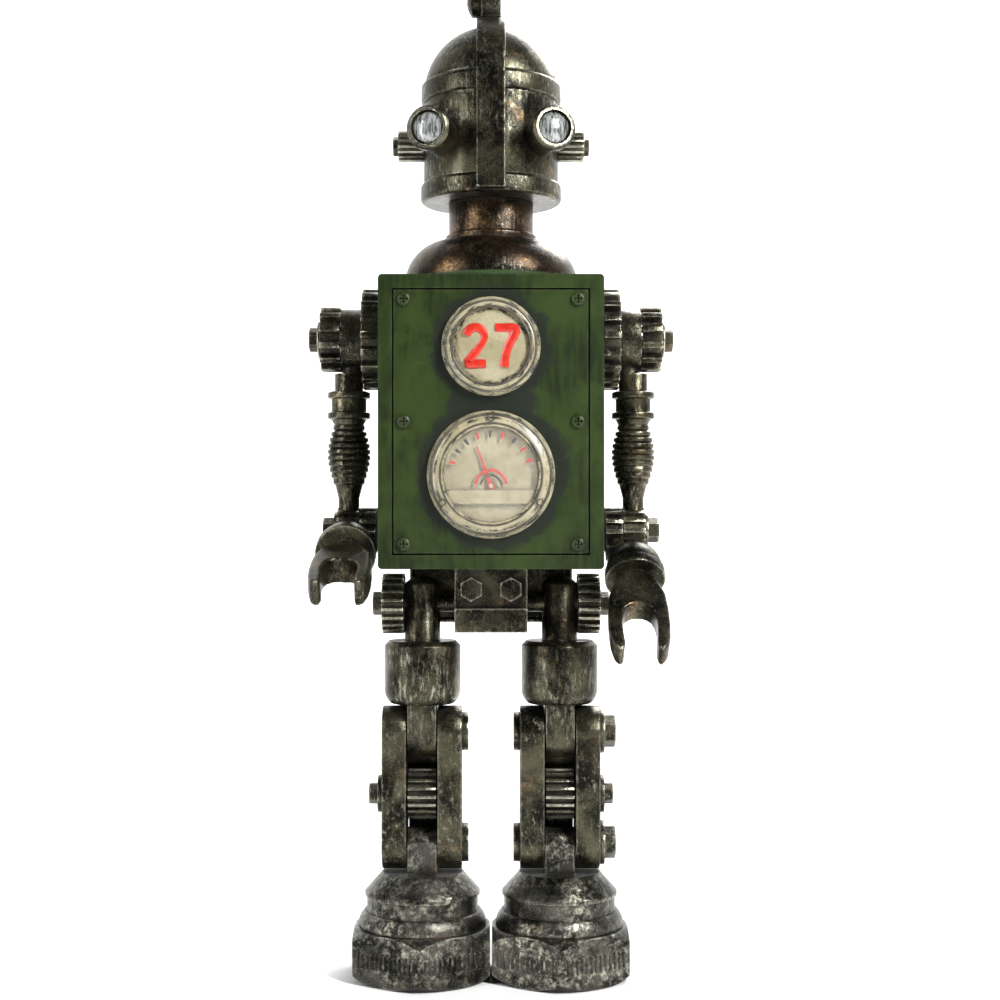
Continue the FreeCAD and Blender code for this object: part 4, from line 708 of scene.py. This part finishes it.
def wrench_claw(side, bend, thick=7.6):
    """A claw that hangs from its elbow in the direction of the forearm."""
    way = 1 if side == "left" else -1
    claw = f"{side}_claw"
    elbow = Vector((middle(claw).x, 0, middle(f"{side}_elbow_bolt").z))
    down = Vector((0, -math.sin(math.radians(bend)), -math.cos(math.radians(bend))))
    normal = Vector((1, 0, 0)).cross(down)
    outline = claw_outline()
    layers = [(-0.5, 0.80), (-0.42, 0.92), (-0.25, 1.0), (0.25, 1.0), (0.42, 0.92), (0.5, 0.80)]
    points, faces = [], []
    for depth, waist in layers:
        for x, reach in outline:
            swell = waist if reach > 22 else 1.0
            wide = math.copysign(abs(x) - (1 - swell) * 2.5, x) if abs(x) > 6 else x
            points.append(elbow + Vector((wide * way * MM, 0, 0)) + down * reach * MM
                          + normal * depth * thick * MM)
    count = len(outline)
    for layer in range(len(layers) - 1):
        for k in range(count):
            a, b = layer * count + k, layer * count + (k + 1) % count
            faces.append((a, b, b + count, a + count))
    faces.append(tuple(range(count - 1, -1, -1)))
    faces.append(tuple(range((len(layers) - 1) * count, len(layers) * count)))
    piece = mesh_piece(f"{side}_wrench", points, faces, "claw_metal", claw)
    cast(piece, 0.35, 16)
    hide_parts(claw)
    return piece


wrench_claw("left", 45)
wrench_claw("right", 70)
print("claws forged")


# %% [markdown]
# ### Plates that close the gaps
# Behind the hips a pressed plate closes the space between the pelvis and the torso, and a web
# at each ankle closes the lower end of the shin's slot.  Both are thin plates with rounded
# rims and a raised bead along their edge, as a pressed part has.

# %% Pressed plates
def pressed_plate(name, corner, opposite, body, slot, bead=0.5):
    """An upright plate between two corners, with a bead round its rim on the front."""
    (x0, y0, z0), (x1, y1, z1) = corner, opposite
    rings = []
    for inset, depth in ((0.0, 1.0), (0.0, 0.25), (0.35, 0.0), (bead + 0.4, 0.0),
                         (bead + 0.8, 0.3), (bead + 1.6, 0.3)):
        y = y0 + (y1 - y0) * depth
        rings.append([(x0 + inset, y, z0 + inset), (x1 - inset, y, z0 + inset),
                      (x1 - inset, y, z1 - inset), (x0 + inset, y, z1 - inset)])
    points = [Vector(p) * MM for ring in rings for p in ring]
    faces = [(r * 4 + k, r * 4 + (k + 1) % 4, (r + 1) * 4 + (k + 1) % 4, (r + 1) * 4 + k)
             for r in range(len(rings) - 1) for k in range(4)]
    last = (len(rings) - 1) * 4
    faces += [(3, 2, 1, 0), tuple(range(last, last + 4))]
    piece = mesh_piece(name, points, faces, slot, body)
    soften(piece, 0.2)
    return piece


torso_floor = low("torso_case").z / MM
hip_back = 8.6
pressed_plate("hip_plate", (-24.8, hip_back, torso_floor - 17.2),
              (24.8, hip_back + 2.0, torso_floor - 0.05), "torso", "gunmetal")
for side in ("left", "right"):
    plates = f"{side}_shin_plates"
    across = middle(plates).x / MM
    back = high(plates).y / MM
    ankle = low(plates).z / MM
    pressed_plate(f"{side}_ankle_web", (across - 4.5, back - 1.45, ankle + 7.2),
                  (across + 4.5, back - 0.15, ankle + 14.6), f"{side}_shin", "gunmetal")
print("plates pressed")


# %% [markdown]
# ## Studio
# A pale floor that curves up behind the robot, a soft light from the upper right, a
# weaker strip from the left and one from behind give the metal its highlights. The back
# of the floor glows a little, so that it stays pale while the metal keeps its darks. The
# camera stands in front of the robot at belt height, level, at the distance where a 300
# mm figure fills the frame.

# %% Floor, lights and camera
def soft_light(name, place, aim, size, watts):
    lamp = bpy.data.lights.new(name, "AREA")
    lamp.shape = "RECTANGLE"
    lamp.size, lamp.size_y = size
    lamp.energy = watts
    light = bpy.data.objects.new(name, lamp)
    bpy.context.scene.collection.objects.link(light)
    light.location = place
    light.rotation_euler = (Vector(aim) - Vector(place)).to_track_quat("-Z", "Y").to_euler()
    return light


def studio():
    sweep = [(-6.0, 0.0), (0.9, 0.0)]
    sweep += [(0.9 + 0.6 * math.sin(math.radians(turn)), 0.6 - 0.6 * math.cos(math.radians(turn)))
              for turn in range(10, 91, 10)]
    sweep.append((1.5, 6.0))
    points = [(x, y, z) for y, z in sweep for x in (-9.0, 9.0)]
    faces = [(2 * k, 2 * k + 1, 2 * k + 3, 2 * k + 2) for k in range(len(sweep) - 1)]
    floor_mesh = bpy.data.meshes.new("floor")
    floor_mesh.from_pydata(points, [], faces)
    floor_mesh.polygons.foreach_set("use_smooth", [True] * len(faces))
    floor = bpy.data.objects.new("floor", floor_mesh)
    bpy.context.scene.collection.objects.link(floor)
    b = Bench("floor_white")
    away = b.add("ShaderNodeSeparateXYZ", {0: b.mm}).outputs["Y"]
    glow = b.ramp(away, 80.0, 700.0)
    paper = b.mix(b.noise(0.01, 3, 0.5), (0.90, 0.90, 0.90), (0.93, 0.93, 0.93))
    floor.data.materials.append(b.finish(
        Base_Color=paper, Roughness=0.9, Emission_Color=(1.0, 1.0, 1.0),
        Emission_Strength=b.math("MULTIPLY", glow, 0.85)))
    floor.location.z = -0.0002
    world = bpy.data.worlds.new("studio")
    bpy.context.scene.world = world
    world.use_nodes = True
    world.node_tree.nodes["Background"].inputs["Color"].default_value = (1, 1, 1, 1)
    world.node_tree.nodes["Background"].inputs["Strength"].default_value = 0.06
    soft_light("key light", (0.50, -0.56, 0.60), (0, 0, 0.16), (0.18, 0.40), 12)
    soft_light("fill light", (-0.62, -0.40, 0.34), (0, 0, 0.15), (0.08, 0.70), 3)
    soft_light("rim light", (0.3, 0.7, 0.8), (0, 0, 0.2), (0.6, 0.4), 9)
    bpy.context.scene.view_settings.view_transform = "Standard"


def camera():
    height = 0.136
    distance = 0.4965
    lens = bpy.data.cameras.new("camera")
    lens.sensor_width = 36
    lens.lens = 36 * distance / 0.300
    lens.shift_x = 0.009
    lens.shift_y = 0.020
    lens.clip_start = 0.01
    viewer = bpy.data.objects.new("camera", lens)
    bpy.context.scene.collection.objects.link(viewer)
    viewer.location = (0, -distance, height)
    viewer.rotation_euler = (math.radians(90), 0, 0)
    bpy.context.scene.camera = viewer
    print("camera", round(distance, 3), "m away, lens", round(lens.lens, 1), "mm")


studio()
camera()


# %% [markdown]
# ## Close the lesson
# The last call brings the view layer up to date.

# %% Finish
bpy.context.view_layer.update()
